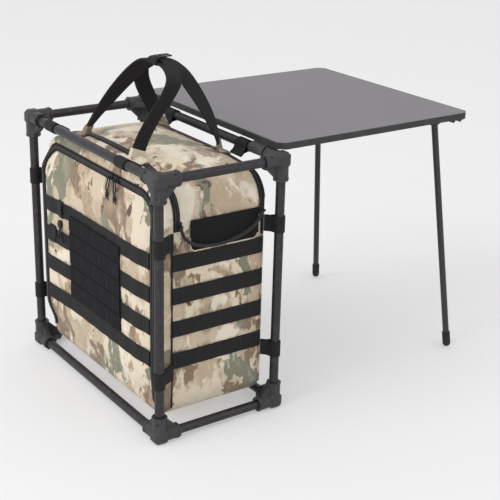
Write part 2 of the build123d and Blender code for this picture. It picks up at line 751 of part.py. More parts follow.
with BuildPart() as leg_sockets:
    for top, foot in zip(leg_tops, leg_feet):
        along = (foot - top).normalized()
        with BuildSketch(Plane.XY.offset(z_under)):
            with Locations((top.X, top.Y)):
                Circle(socket_flange)
        extrude(amount=-plate_thickness)
        with BuildSketch(Plane(origin=top, z_dir=along)):
            Circle(boss_radius)
        extrude(amount=boss_length)
        with BuildSketch(Plane(origin=top, z_dir=along)):
            Circle(leg_radius + leg_fit)
        extrude(amount=boss_length, both=True, mode=Mode.SUBTRACT)
    with BuildSketch(Plane.XY.offset(z_under)):
        Rectangle(2 * tall, 2 * tall)
    extrude(amount=boss_length, mode=Mode.SUBTRACT)
    with BuildSketch(Plane.XY.offset(z_under)):
        with Locations(*socket_screws):
            Circle(screw_radius + tube_fit)
    extrude(amount=-plate_thickness, mode=Mode.SUBTRACT)
finish("leg_sockets", leg_sockets)

with BuildPart() as table_screws:
    with BuildSketch(Plane.XY.offset(z_under - plate_thickness)):
        with Locations(*screw_places):
            Circle(screw_radius)
    extrude(amount=plate_thickness + screw_depth)
    with BuildSketch(Plane.XY.offset(z_under - plate_thickness)):
        with Locations(*screw_places):
            Circle(screw_head)
    extrude(amount=-screw_radius)
finish("table_screws", table_screws)

# Legs: one-piece tubes that plug into their sockets, each with a round rubber foot
for side, top, foot in zip(("right", "left"), leg_tops, leg_feet):
    along = (foot - top).normalized()
    with BuildPart() as leg:
        with BuildSketch(Plane(origin=top + along * leg_top_gap, z_dir=along)):
            Circle(leg_radius)
            Circle(leg_radius - leg_wall, mode=Mode.SUBTRACT)
        extrude(amount=(foot - top).length - leg_top_gap)
    finish(f"leg_{side}", leg)
    with BuildPart() as foot_cap:
        with BuildSketch(Plane(origin=foot, z_dir=along * -1)):
            Circle(foot_radius)
        extrude(amount=foot_length)
        with Locations(foot):
            Sphere(foot_radius)
        with BuildSketch(Plane(origin=foot, z_dir=along * -1)):
            Circle(leg_radius)
        extrude(amount=foot_length, mode=Mode.SUBTRACT)
    finish(f"foot_{side}", foot_cap)
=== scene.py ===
from math import cos, pi, radians, sin

import bmesh
import bpy
import numpy as np
from mathutils import Matrix, Vector


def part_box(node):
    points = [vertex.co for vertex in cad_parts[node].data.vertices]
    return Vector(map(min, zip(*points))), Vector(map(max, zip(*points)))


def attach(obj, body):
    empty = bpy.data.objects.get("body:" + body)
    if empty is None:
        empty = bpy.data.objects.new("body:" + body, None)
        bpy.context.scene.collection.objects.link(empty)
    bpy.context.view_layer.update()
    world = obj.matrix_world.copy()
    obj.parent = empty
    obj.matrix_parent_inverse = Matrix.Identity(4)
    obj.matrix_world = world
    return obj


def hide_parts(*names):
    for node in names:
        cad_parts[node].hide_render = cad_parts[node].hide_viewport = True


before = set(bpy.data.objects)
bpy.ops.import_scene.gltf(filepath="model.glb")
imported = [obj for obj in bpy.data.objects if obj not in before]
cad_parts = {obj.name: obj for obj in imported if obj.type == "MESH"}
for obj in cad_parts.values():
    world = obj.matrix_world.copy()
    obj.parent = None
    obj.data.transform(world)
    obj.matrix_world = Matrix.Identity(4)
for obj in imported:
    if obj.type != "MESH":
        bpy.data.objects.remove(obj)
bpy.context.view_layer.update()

# ---- Frame tubes ----------------------------------------------------------------------------
# Twelve drawn aluminium tubes, 14 mm across, anodised charcoal. Each end is pushed into a
# moulded hub. The anodising is satin, with faint drawing lines and a little handling wear.


class Shade:
    """A shader socket: Python's operators on it add Math nodes, and node() adds any other."""

    def __init__(self, tree, socket=None):
        self.tree, self.socket = tree, socket

    def node(self, kind, settings=None, sockets=None, output=0):
        """One node: its settings first, then its sockets' values or links."""
        made = self.tree.nodes.new("ShaderNode" + kind)
        for name, value in (settings or {}).items():
            setattr(made, name, value)
        for name, value in (sockets or {}).items():
            if isinstance(value, Shade):
                self.tree.links.new(value.socket, made.inputs[name])
            else:
                made.inputs[name].default_value = value
        return Shade(self.tree, made.outputs[output])

    def maths(self, operation, first, second=0.0):
        return self.node("Math", {"operation": operation}, {0: first, 1: second})

    def __add__(self, other):
        return self.maths("ADD", self, other)

    def __sub__(self, other):
        return self.maths("SUBTRACT", self, other)

    def __rsub__(self, other):
        return self.maths("SUBTRACT", other, self)

    def __mul__(self, other):
        return self.maths("MULTIPLY", self, other)

    __radd__, __rmul__ = __add__, __mul__

    def step(self, low, high):
        """0 below low and 1 above high, turning smoothly between."""
        return self.node("MapRange", {"interpolation_type": "SMOOTHSTEP"},
                         {"Value": self, "From Min": low, "From Max": high})

    def mix(self, off, on):
        """The colour off where this is 0, and on where it is 1."""
        off, on = (c if isinstance(c, Shade) else (*c, 1) for c in (off, on))
        return self.node("Mix", {"data_type": "RGBA"}, {0: self, 6: off, 7: on}, output=2)

    def stretched(self, scale, shift=(0, 0, 0)):
        """These coordinates scaled and moved."""
        return self.node("Mapping", {}, {"Vector": self, "Scale": scale, "Location": shift})

    def noise(self, scale, detail=2.0, rough=0.5, output=0):
        """Soft cloudy noise, 0 to 1, on these coordinates."""
        return self.node("TexNoise", {}, {"Vector": self, "Scale": scale, "Detail": detail,
                                          "Roughness": rough}, output)

    def wave(self, direction, scale, distortion=0.0):
        """Even bands, 0 to 1, across these coordinates."""
        return self.node("TexWave", {"bands_direction": direction},
                         {"Vector": self, "Scale": scale, "Distortion": distortion})

    def bumped(self, depth, strength=1.0):
        """A normal from this height, depth metres deep."""
        return self.node("Bump", {}, {"Height": self, "Distance": depth, "Strength": strength})


def srgb(red, green, blue):
    """A screen colour, 0 to 255, as linear light."""
    screen = np.array((red, green, blue)) / 255
    linear = np.where(screen < 0.04045, screen / 12.92, ((screen + 0.055) / 1.055) ** 2.4)
    return tuple(float(c) for c in linear)


class Finish:
    """A new material: its shader, object and surface coordinates, and set() for the sockets."""

    def __init__(self, name, **sockets):
        self.material = bpy.data.materials.new(name)
        self.material.use_nodes = True
        tree = self.material.node_tree
        self.shader = tree.nodes["Principled BSDF"]
        self.place = Shade(tree).node("TexCoord", output=3)
        self.along = Shade(tree).node("TexCoord", output=2)
        self.set(**sockets)

    def set(self, **sockets):
        """Values or links for the shader's sockets, named with _ for a space."""
        for name, value in sockets.items():
            socket = self.shader.inputs[name.replace("_", " ").title().replace("Ior", "IOR")]
            if isinstance(value, Shade):
                value.tree.links.new(value.socket, socket)
            else:
                socket.default_value = (*value, 1) if isinstance(value, tuple) and len(value) == 3 else value
        return self.material


def speckled(name, noise, dark, light, rough, bump=None, edges=None, **sockets):
    """A finish of one fine noise. Its colour runs from dark to light, sharpened between the two edges if
    given, its roughness is rough's first number and up to its second more, and bump is a depth and strength."""
    made = Finish(name, **sockets)
    grain = made.place.noise(*noise)
    made.set(base_color=(grain.step(*edges) if edges else grain).mix(srgb(*dark), srgb(*light)),
             roughness=rough[0] + rough[1] * grain)
    if bump:
        made.set(normal=grain.bumped(*bump))
    return made


def box_of(node):
    """A CAD node's least and greatest corners."""
    return [np.array(c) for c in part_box(node)]


def dress(finish, *nodes):
    """Gives CAD nodes a finish."""
    for name in nodes:
        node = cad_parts[name]
        node.data.materials.clear()
        node.data.materials.append(finish)


TUBES = [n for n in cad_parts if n.startswith(("rail_bottom", "rail_top", "post_front", "post_table"))]
anodised = Finish("anodised_charcoal", metallic=0.8)
scuffs = anodised.place.noise(140, 4, 0.65)
drawing = anodised.place.noise(1800, 1)
anodised.set(base_color=scuffs.step(0.45, 0.85).mix(srgb(60, 58, 61), srgb(82, 80, 83)),
             roughness=0.32 + 0.12 * scuffs + 0.04 * drawing,
             normal=drawing.bumped(0.00002, 0.5))
dress(anodised.material, *TUBES)

# ---- Hubs -----------------------------------------------------------------------------------
# Eight three-way hubs, injection-moulded in glass-filled nylon with a fine spark texture. Their
# moulded edges are softened. Dark rivets through each socket hold the tubes.


def mesh_object(name, mesh, finish):
    """A linked object for a mesh with one finish."""
    made = bpy.data.objects.new(name, mesh)
    bpy.context.scene.collection.objects.link(made)
    mesh.materials.append(finish)
    return made


def applied(piece):
    """Replaces a piece's mesh with what its modifiers make of it."""
    evaluated = piece.evaluated_get(bpy.context.evaluated_depsgraph_get())
    result = bpy.data.meshes.new_from_object(evaluated)
    piece.modifiers.clear()
    piece.data = result
    return piece


def softened(node, width, finish, name):
    """A merged copy of a hard CAD shape, with its flat faces whole and its edges rounded off."""
    shape = bmesh.new()
    shape.from_mesh(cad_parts[node].data)
    bmesh.ops.remove_doubles(shape, verts=shape.verts, dist=1e-5)
    bmesh.ops.dissolve_limit(shape, angle_limit=radians(2), verts=shape.verts, edges=shape.edges)
    mesh = bpy.data.meshes.new(name)
    shape.to_mesh(mesh)
    shape.free()
    mesh.materials.clear()
    mesh.shade_smooth()
    piece = mesh_object(name, mesh, finish)
    bevel = piece.modifiers.new("edges", "BEVEL")
    bevel.width, bevel.segments, bevel.limit_method = width, 2, "ANGLE"
    bevel.angle_limit, bevel.use_clamp_overlap, bevel.harden_normals = radians(28), True, True
    applied(piece)
    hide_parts(node)
    return piece


nylon = Finish("moulded_nylon")
spark = nylon.place.noise(2600, 3, 0.7)
patches = nylon.place.noise(45, 3)
nylon.set(base_color=patches.step(0.3, 0.8).mix(srgb(44, 43, 45), srgb(54, 52, 55)),
          roughness=0.46 + 0.12 * patches + 0.06 * spark, normal=spark.bumped(0.00006, 0.5))
for node in [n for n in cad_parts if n.startswith("hub_") and n != "hub_rivets"]:
    hub = softened(node, 0.0007, nylon.material, node.replace("hub_", "moulded_hub_"))
    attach(hub, "frame")

steel = speckled("rivet_steel", (700, 2), (46, 45, 46), (84, 82, 82), (0.22, 0.2), metallic=1.0)
dress(steel.material, "hub_rivets", "table_screws")

# ---- Side table -----------------------------------------------------------------------------
# A laminated board with a grey, fine-grained top, banded with black plastic. It sits on clips
# over the frame's rail, with two saddles and two leg sockets screwed to its underside.
board = Finish("board_laminate")
grain = board.place.noise(1500, 2, 0.6)
cloud = board.place.noise(7, 3)
speckle = (0.75 * grain + 0.25 * cloud).step(0.3, 0.72)
board.set(base_color=speckle.mix(srgb(102, 99, 102), srgb(122, 119, 122)),
          roughness=0.44 + 0.1 * grain + 0.08 * cloud, normal=grain.bumped(0.00008, 0.45))
dress(board.material, "table_board")
banding = speckled("edge_banding", (60, 4, 0.6), (38, 38, 40), (62, 61, 63), (0.42, 0.2), edges=(0.5, 0.8))
dress(banding.material, "table_rim")
for node in ("rail_clips", "rail_saddles", "leg_sockets"):
    bracket = softened(node, 0.0004, nylon.material, "moulded_" + node)
    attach(bracket, "tabletop")

# ---- Legs -----------------------------------------------------------------------------------
# Two splayed steel legs, powder-coated black with a faint orange-peel, plugged into their
# sockets, each ending in a round rubber foot flecked all over with pale dust.
coated = Finish("powder_coat")
peel = coated.place.noise(900, 2)
coated.set(base_color=coated.place.noise(40, 3).mix(srgb(34, 34, 36), srgb(46, 46, 48)),
           roughness=0.38 + 0.12 * peel, normal=peel.bumped(0.00008, 0.5))
dress(coated.material, "leg_right", "leg_left")
rubber = speckled("foot_rubber", (220, 4, 0.7), (26, 26, 27), (70, 68, 65), (0.72, 0.2), (0.0001, 0.5),
                  edges=(0.5, 0.85))
dress(rubber.material, "foot_right", "foot_left")

# ---- Bag body -------------------------------------------------------------------------------
# A padded bag in camouflage-printed cloth over 4 mm foam, with a black lining. It is one closed
# form that every sewn-on piece follows: upright walls with rounded corners, both profiles domed
# at the top, a front that swells and a base that sags.
bag_min, bag_max = box_of("bag_body")
lid_min, lid_max = box_of("bag_lid")
door_min, door_max = box_of("front_door")
web_min, web_max = box_of("side_webbing")
FRONT, REAR, HALF, LOW = bag_min[0], bag_max[0], bag_max[1], bag_min[2]
CROWN = lid_max[2]
MIDDLE = (FRONT + REAR) / 2
FOAM = 0.004
ROW_HEIGHT, ROW_PITCH, ROWS = 0.0254, 0.0508, 4
ROW_TOPS = [web_max[2] - ROW_PITCH * row for row in range(ROWS)]
LID_SEAM_FRONT, LID_SEAM_REAR, LID_SEAM_LEFT = lid_min[0], lid_max[0], lid_max[1]
FRONT_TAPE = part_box("lid_zips")[0].x + 0.0055
REAR_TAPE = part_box("lid_zips")[1].x - 0.0055
FLAP_LOW, FLAP_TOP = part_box("flap_band")[0].z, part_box("flap_band")[1].z
DOOR_HALF, DOOR_SILL, DOOR_HEAD = door_max[1] + 0.0005, door_min[2], door_max[2] + 0.0005
DOOR_ROUND, FRONT_SWELL = 0.034, 0.0120


def arc_through(a, b, c):
    """Centre and radius of the circle through three points: where two bisectors meet."""
    a, b, c = (np.array(p, float) for p in (a, b, c))
    centre = np.linalg.solve(2 * np.array([b - a, c - a]), [b @ b - a @ a, c @ c - a @ a])
    return centre, np.hypot(*(a - centre))


def ease(t):
    """0 below 0 and 1 above 1, turning smoothly between: 3 t squared less 2 t cubed."""
    t = np.clip(t, 0, 1)
    return t * t * (3 - 2 * t)


def unit(vectors):
    """Vectors made one long."""
    return vectors / np.maximum(np.linalg.norm(vectors, axis=-1, keepdims=True), 1e-9)


def points_at(x, y, z):
    """Points from three coordinates, each one number or an array."""
    return np.stack(np.broadcast_arrays(x, y, z), -1).astype(float)


def corner_gap(a, b, radius):
    """Distance outside a rounded corner, from the distances a and b past its centre along two directions."""
    return np.hypot(np.maximum(a, 0), np.maximum(b, 0)) - radius + np.minimum(np.maximum(a, b), 0)


def blunt(a, b, width):
    """The greater of two fields, rounded over where they are within width of each other."""
    near = np.maximum(width - np.abs(a - b), 0) / width
    return np.maximum(a, b) + near ** 2 * width / 4


SIDE_ROUND, SIDE_SPRING, FOOT_ROUND, BASE_SAG = 0.0461, CROWN - 0.068, 0.028, 0.007
BROW_ROUND, BROW_SPRING = 0.0325, CROWN - 0.036
crown_arc = arc_through((-0.1455, CROWN - 0.023), (0, CROWN), (0.1455, CROWN - 0.023))
roof_arc = arc_through((FRONT + 0.027, CROWN - 0.004), (MIDDLE, CROWN + 0.002), (REAR - 0.006, CROWN - 0.016))


def front_swell(p):
    """How far the padded front stands out of its plane: a quarter of its full height at the right edge, more
    over the middle and full at the left. It eases to nothing over 50 mm at the sill, and over 75 mm at the
    head, or 35 mm at its left."""
    y, z = p[..., 1], p[..., 2]
    head = ease((DOOR_HEAD - 0.008 - z) / (0.075 - 0.040 * ease((y - 0.090) / 0.050)))
    sill = ease((z - DOOR_SILL - 0.002) / 0.050)
    plan = 0.25 + 0.33 * ease((y + DOOR_HALF) / 0.050) + 0.42 * ease((y - 0.060) / 0.100)
    return FRONT_SWELL * head * sill * plan


def form(p):
    """Distance of points above the bag's form: the greatest of its plan's, its two profiles' and its base's.
    A profile is a quarter circle at the shoulder that turns into a wide arc over the top. The base is flat,
    with a quarter circle at each lower side. The front half is stretched forwards by the front's swell."""
    x = p[..., 0] + front_swell(p) * ease((MIDDLE - p[..., 0]) / 0.080)
    y, z = np.abs(p[..., 1]), p[..., 2]
    corner = np.where(x < MIDDLE, 0.020, 0.010)
    plan = corner_gap(np.abs(x - MIDDLE) - (REAR - FRONT) / 2 + corner, y - HALF + corner, corner)
    (cy, cz), radius = crown_arc
    shoulder = np.hypot(np.maximum(y - HALF + SIDE_ROUND, 0), np.maximum(z - SIDE_SPRING, 0)) - SIDE_ROUND
    across = shoulder + (np.hypot(y - cy, z - cz) - radius - shoulder) * ease((0.146 - y) / 0.016)
    (cx, cz), radius = roof_arc
    brow = np.hypot(np.maximum(FRONT + BROW_ROUND - x, 0), np.maximum(z - BROW_SPRING, 0)) - BROW_ROUND
    fore = brow + (np.hypot(x - cx, z - cz) - radius - brow) * ease((x - FRONT - 0.022) / 0.012)
    rear_edge = (x - REAR + z - CROWN + 0.022) * 0.7071
    top = blunt(blunt(across, fore, 0.010), rear_edge, 0.012)
    base = blunt(np.maximum(plan, top), LOW - BASE_SAG - z, 0.018)
    foot_y, foot_z = y - HALF + FOOT_ROUND, LOW - BASE_SAG + FOOT_ROUND - z
    foot = np.where(np.minimum(foot_y, foot_z) > 0, np.hypot(foot_y, foot_z) - FOOT_ROUND, -1)
    return np.maximum(base, foot)


def slope(p):
    """Which way the form's distance grows: its central differences, made unit length."""
    step = 1e-4 * np.eye(3)
    return unit(np.stack([form(p + s) - form(p - s) for s in step], -1))


def lay(p, lift):
    """Points moved along the slope until they stand lift above the form."""
    for _ in range(6):
        p = p - (form(p) - lift)[..., None] * slope(p)
    return p


def mesh_of(name, points, faces, uv=None):
    """A mesh from arrays of points and of faces with a like number of corners, with UVs if given."""
    mesh = bpy.data.meshes.new(name)
    corners = faces.shape[1]
    mesh.vertices.add(len(points))
    mesh.vertices.foreach_set("co", np.asarray(points, np.float32).ravel())
    mesh.loops.add(faces.size)
    mesh.loops.foreach_set("vertex_index", faces.ravel().astype(np.int32))
    mesh.polygons.add(len(faces))
    mesh.polygons.foreach_set("loop_start", np.arange(0, faces.size, corners, dtype=np.int32))
    mesh.update(calc_edges=True)
    if uv is not None:
        layer = mesh.uv_layers.new(name="surface")
        layer.data.foreach_set("uv", uv[faces.ravel()].astype(np.float32).ravel())
    mesh.validate()
    mesh.shade_smooth()
    return mesh


def box_grid(low, high, pitch):
    """Points and faces of a box's six sides, each an even grid. Shared edge points are merged by rounding."""
    low, high = np.array(low), np.array(high)
    counts = np.ceil((high - low) / pitch).astype(int)
    points, faces = [], []
    for axis in range(3):
        first, second = (axis + 1) % 3, (axis + 2) % 3
        a, b = np.meshgrid(np.linspace(low[first], high[first], counts[first] + 1),
                           np.linspace(low[second], high[second], counts[second] + 1), indexing="ij")
        for end in (0, 1):
            sheet = np.empty(a.shape + (3,))
            sheet[..., first], sheet[..., second], sheet[..., axis] = a, b, (low, high)[end][axis]
            index = np.arange(a.size).reshape(a.shape) + sum(len(p) for p in points)
            quads = np.stack([index[:-1, :-1], index[1:, :-1], index[1:, 1:], index[:-1, 1:]], -1)
            quads = quads.reshape(-1, 4)
            points.append(sheet.reshape(-1, 3))
            faces.append(quads if end else quads[:, ::-1])
    points, faces = np.concatenate(points), np.concatenate(faces)
    _, keep, renumber = np.unique(np.round(points / 1e-5).astype(np.int64), axis=0, return_index=True,
                                  return_inverse=True)
    return points[keep], renumber.reshape(-1)[faces]


def door_gap(p):
    """Distance outside the door's outline: upright sides, and a rounded head."""
    y, z = np.abs(p[..., 1]), p[..., 2]
    head = corner_gap(y - DOOR_HALF + DOOR_ROUND, z - DOOR_HEAD + DOOR_ROUND, DOOR_ROUND)
    return np.maximum(head, DOOR_SILL - z)


def held_down(p):
    """1 where stitching, a zip or webbing holds the cloth to the foam, and 0 where it is free."""
    x, y, z = p.T
    facing, side = x < FRONT + 0.004, np.abs(y) > HALF - 0.004
    rows = np.zeros(len(p), bool)
    for top in ROW_TOPS:
        rows |= (z < top - 0.002) & (z > top - ROW_HEIGHT + 0.002)
    held = facing & (np.abs(door_gap(p)) < 0.008)
    held |= rows & facing & (np.abs(y) < DOOR_HALF)
    held |= rows & side & (x > FRONT + 0.017)
    above = (z > FLAP_LOW) & (y < LID_SEAM_LEFT)
    held |= above & ((np.abs(x - FRONT_TAPE) < 0.007) | (np.abs(x - REAR_TAPE) < 0.006))
    held |= (z > CROWN - 0.06) & (np.abs(y - LID_SEAM_LEFT) < 0.003) & (x > LID_SEAM_FRONT)
    held |= (y < -HALF + 0.004) & (z > FLAP_LOW - 0.002) & (z < FLAP_TOP) & (x > LID_SEAM_FRONT)
    held |= z < LOW
    held |= (np.abs(x - REAR) < 0.004) & (np.abs(y) > HALF - 0.014)
    return held.astype(float)


def points_of(mesh):
    """A mesh's points."""
    flat = np.empty(len(mesh.vertices) * 3, np.float32)
    mesh.vertices.foreach_get("co", flat)
    return flat.reshape(-1, 3)


def move_points(mesh, points):
    """Gives a mesh's points new places."""
    mesh.vertices.foreach_set("co", points.astype(np.float32).ravel())
    mesh.update()


CLOTH_FRAMES, CLOTH_CAP = 20, 0.006
CLOTH = {"quality": 5, "mass": 0.3, "tension_stiffness": 20, "compression_stiffness": 20,
         "bending_stiffness": 0.8, "use_pressure": True, "uniform_pressure_force": 4.0, "shrink_min": -0.012,
         "vertex_group_mass": "held"}


def puffed(piece, held):
    """Blows the cloth out between where it is held, and applies the result, moved at most CLOTH_CAP."""
    rest = points_of(piece.data)
    group = piece.vertex_groups.new(name="held")
    group.add(np.flatnonzero(held > 0.5).tolist(), 1.0, "REPLACE")
    cloth = piece.modifiers.new("cloth", "CLOTH").settings
    for name, value in CLOTH.items():
        setattr(cloth, name, value)
    cloth.effector_weights.gravity = 0
    for number in range(1, CLOTH_FRAMES + 1):
        bpy.context.scene.frame_set(number)
    moved = points_of(piece.evaluated_get(bpy.context.evaluated_depsgraph_get()).data) - rest
    far = np.linalg.norm(moved, axis=1, keepdims=True)
    moved *= np.minimum(1, CLOTH_CAP / np.maximum(far, 1e-9))
    piece.modifiers.clear()
    piece.vertex_groups.clear()
    move_points(piece.data, rest + moved)
    bpy.context.scene.frame_set(1)


def seam_dips(p):
    """How far the cloth is drawn in beside its seams, and puckered along them."""
    x, y, z = p.T
    edge = np.exp(-((np.abs(y - LID_SEAM_LEFT) / 0.004) ** 2)) * ease((z - CROWN + 0.07) / 0.01)
    edge += np.exp(-((np.hypot(np.abs(y) - HALF, x - REAR) - 0.012) / 0.003) ** 2) * 0.5
    pucker = 0.5 + 0.5 * np.sin(x * 900 + 2 * np.sin(x * 130))
    return 0.0012 * edge * (0.6 + 0.4 * pucker)


camo = Finish("camouflage_cloth", sheen_weight=0.15, sheen_roughness=0.5, specular_ior_level=0.35)
print_place = camo.place.stretched((1, 1, 0.66))
swirl = print_place.noise(38, 3, output=1)
wander = print_place.node("VectorMath", {"operation": "MULTIPLY_ADD"},
                          {0: swirl, 1: (0.030,) * 3, 2: print_place})
drip = camo.place.stretched((1, 1, 0.22)).noise(120, 3, 0.65)
mottle = camo.place.noise(240, 4, 0.7)
cream, pale = srgb(217, 204, 181), srgb(231, 221, 203)
tan, brown, sage, dark = srgb(184, 165, 140), srgb(131, 110, 90), srgb(122, 124, 105), srgb(86, 74, 62)


def blots(seed, scale, low, high, wash=0.35):
    """Where one ink of the print lies: warped noise over a threshold, ragged at its edge, where the ink
    pools, and washed out inside."""
    field = wander.stretched((1, 1, 1), (seed, seed * 0.7, -seed)).noise(scale, 4, 0.58)
    field = field + (drip - 0.5) * 0.11 + (mottle - 0.5) * 0.03
    return field.step(low, high) * (1 - wash * field.step(high + 0.02, high + 0.12))


ink = blots(0.0, 13, 0.46, 0.52, 0.5).mix(cream, tan)
ink = blots(5.2, 17, 0.555, 0.60, 0.6).mix(ink, srgb(166, 145, 120))
ink = blots(3.1, 13.5, 0.550, 0.580, 0.40).mix(ink, brown)
ink = blots(7.7, 13, 0.560, 0.585, 0.35).mix(ink, sage)
ink = blots(9.4, 40, 0.650, 0.670, 0.2).mix(ink, dark)
ink = (blots(1.7, 15, 0.575, 0.62, 0.0) * 0.85).mix(ink, pale)
twill, weft = camo.place.wave("Z", 420), camo.place.wave("DIAGONAL", 360)
weave = 0.5 * twill + 0.5 * weft
crumple = camo.place.noise(55, 4, 0.6)
camo.set(base_color=(0.10 * weave + 0.16 * mottle * crumple).mix(ink, srgb(120, 104, 86)),
         roughness=0.78 + 0.12 * weave, normal=(0.06 * weave + 0.9 * crumple).bumped(0.0014, 0.6))
lining = speckled("black_lining", (1400, 2), (38, 38, 40), (58, 57, 60), (0.62, 0.2), (0.0002, 0.5),
                  sheen_weight=0.1)

SKIN_PITCH, SKIN_INSET, RAY_STEPS = 0.0050, 0.0006, 24
points, faces = box_grid((FRONT, -HALF, LOW), (REAR, HALF, CROWN), SKIN_PITCH)
centre = np.array((MIDDLE, 0, (LOW + CROWN) / 2))
# Each ray from the centre is halved until it meets the form
near, far = np.zeros(len(points)), np.full(len(points), 1.3)
for _ in range(RAY_STEPS):
    half_way = (near + far) / 2
    outside = form(centre + (points - centre) * half_way[:, None]) > -SKIN_INSET
    near, far = np.where(outside, near, half_way), np.where(outside, half_way, far)
points = centre + (points - centre) * near[:, None]
bag_skin = mesh_object("bag_skin", mesh_of("bag_skin", points, faces), camo.material)
puffed(bag_skin, held_down(points))
skin_points = points_of(bag_skin.data).astype(float)
move_points(bag_skin.data, skin_points - seam_dips(skin_points)[:, None] * slope(skin_points))
bag_skin.data.materials.append(lining.material)
wall = bag_skin.modifiers.new("foam", "SOLIDIFY")
wall.thickness, wall.offset, wall.material_offset, wall.use_even_offset = FOAM, -1, 1, False
applied(bag_skin)


def prism(name, outline, axis, low, high):
    """A closed block: a ring of outline points, given in the two other axes, pushed from low to high."""
    count = len(outline)
    ring = np.zeros((2, count, 3))
    ring[:, :, (axis + 1) % 3], ring[:, :, (axis + 2) % 3] = outline[:, 0], outline[:, 1]
    ring[0, :, axis], ring[1, :, axis] = low, high
    shape = bmesh.new()
    verts = [shape.verts.new(p) for p in ring.reshape(-1, 3)]
    shape.faces.new(verts[:count][::-1])
    shape.faces.new(verts[count:])
    for i in range(count):
        j = (i + 1) % count
        shape.faces.new((verts[i], verts[j], verts[count + j], verts[count + i]))
    bmesh.ops.recalc_face_normals(shape, faces=shape.faces)
    mesh = bpy.data.meshes.new(name)
    shape.to_mesh(mesh)
    shape.free()
    return mesh_object(name, mesh, lining.material)


def door_ring(grow, steps=10):
    """The door's outline, grown by grow, as y and z: round the head's two arcs, then down to the sill."""
    turn = np.linspace(0, pi / 2, steps)
    radius, cy, cz = DOOR_ROUND + grow, DOOR_HALF - DOOR_ROUND, DOOR_HEAD - DOOR_ROUND
    left = np.stack([cy + radius * np.cos(turn), cz + radius * np.sin(turn)], -1)
    right = np.stack([-left[::-1, 0], left[::-1, 1]], -1)
    foot = [(side * (DOOR_HALF + grow), DOOR_SILL - min(grow, 0)) for side in (-1, 1)]
    return np.concatenate([left, right, foot])


def lid_ring(shrink):
    """The lid's end view as y and z: over the top to the left seam, and down the right side to the band."""
    low, left = (FLAP_LOW + FLAP_TOP) / 2 + shrink, LID_SEAM_LEFT - shrink
    right, inner, top = -HALF - 0.03, -HALF + 0.018, CROWN + 0.05
    return np.array([(right, low), (inner, low), (inner, CROWN - 0.06), (left, CROWN - 0.06), (left, top),
                     (right, top)])


def cut(source, name, cutter, operation):
    """A copy of source with the cutter taken away, or with only what is inside it left."""
    piece = bpy.data.objects.new(name, source.data.copy())
    bpy.context.scene.collection.objects.link(piece)
    boolean = piece.modifiers.new("cut", "BOOLEAN")
    boolean.object, boolean.operation, boolean.solver = cutter, operation, "EXACT"
    applied(piece)
    piece.data.name = name
    piece.data.shade_smooth()
    piece.data.set_sharp_from_angle(angle=radians(50))
    return piece


CUT_GAP = 0.0004
door_hole = prism("door_hole", door_ring(CUT_GAP), 0, FRONT - 0.03, FRONT + 0.012)
lid_hole = prism("lid_hole", lid_ring(0), 0, LID_SEAM_FRONT, LID_SEAM_REAR)
door_block = prism("door_block", door_ring(-CUT_GAP), 0, FRONT - 0.03, FRONT + 0.012)
lid_block = prism("lid_block", lid_ring(CUT_GAP), 0, LID_SEAM_FRONT + CUT_GAP, LID_SEAM_REAR - CUT_GAP)
bag_shell = cut(bag_skin, "bag_shell", door_hole, "DIFFERENCE")
opened = cut(bag_shell, "bag_shell_open", lid_hole, "DIFFERENCE")
lid_panel = cut(bag_skin, "lid_panel", lid_block, "INTERSECT")
door_panel = cut(bag_skin, "door_panel", door_block, "INTERSECT")
for scrap in (door_hole, lid_hole, door_block, lid_block, bag_skin, bag_shell):
    bpy.data.objects.remove(scrap)
for piece, node, body in ((opened, "bag_body", "frame"), (lid_panel, "bag_lid", "frame"),
                          (door_panel, "front_door", "door")):
    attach(piece, body)
    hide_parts(node)

# ---- Zips -----------------------------------------------------------------------------------
# Wide black coil zips round the door, over the lid and down its side: a woven tape sewn to
# the cloth, and a ribbed nylon coil along its edge. The door's tape is split at its middle.


def carry(profile, path, across, out):
    """A profile carried along a path: station i's path point, plus each profile point's first number
    times across and its second times out at that station."""
    profile = np.asarray(profile, float)
    if profile.ndim == 2:
        profile = np.broadcast_to(profile, (len(path),) + profile.shape)
    return path[:, None] + profile[..., :1] * across[:, None] + profile[..., 1:] * out[:, None]


def lengths(path):
    """How far along its path each point is."""
    return np.concatenate([[0], np.cumsum(np.linalg.norm(np.diff(path, axis=0), axis=1))])


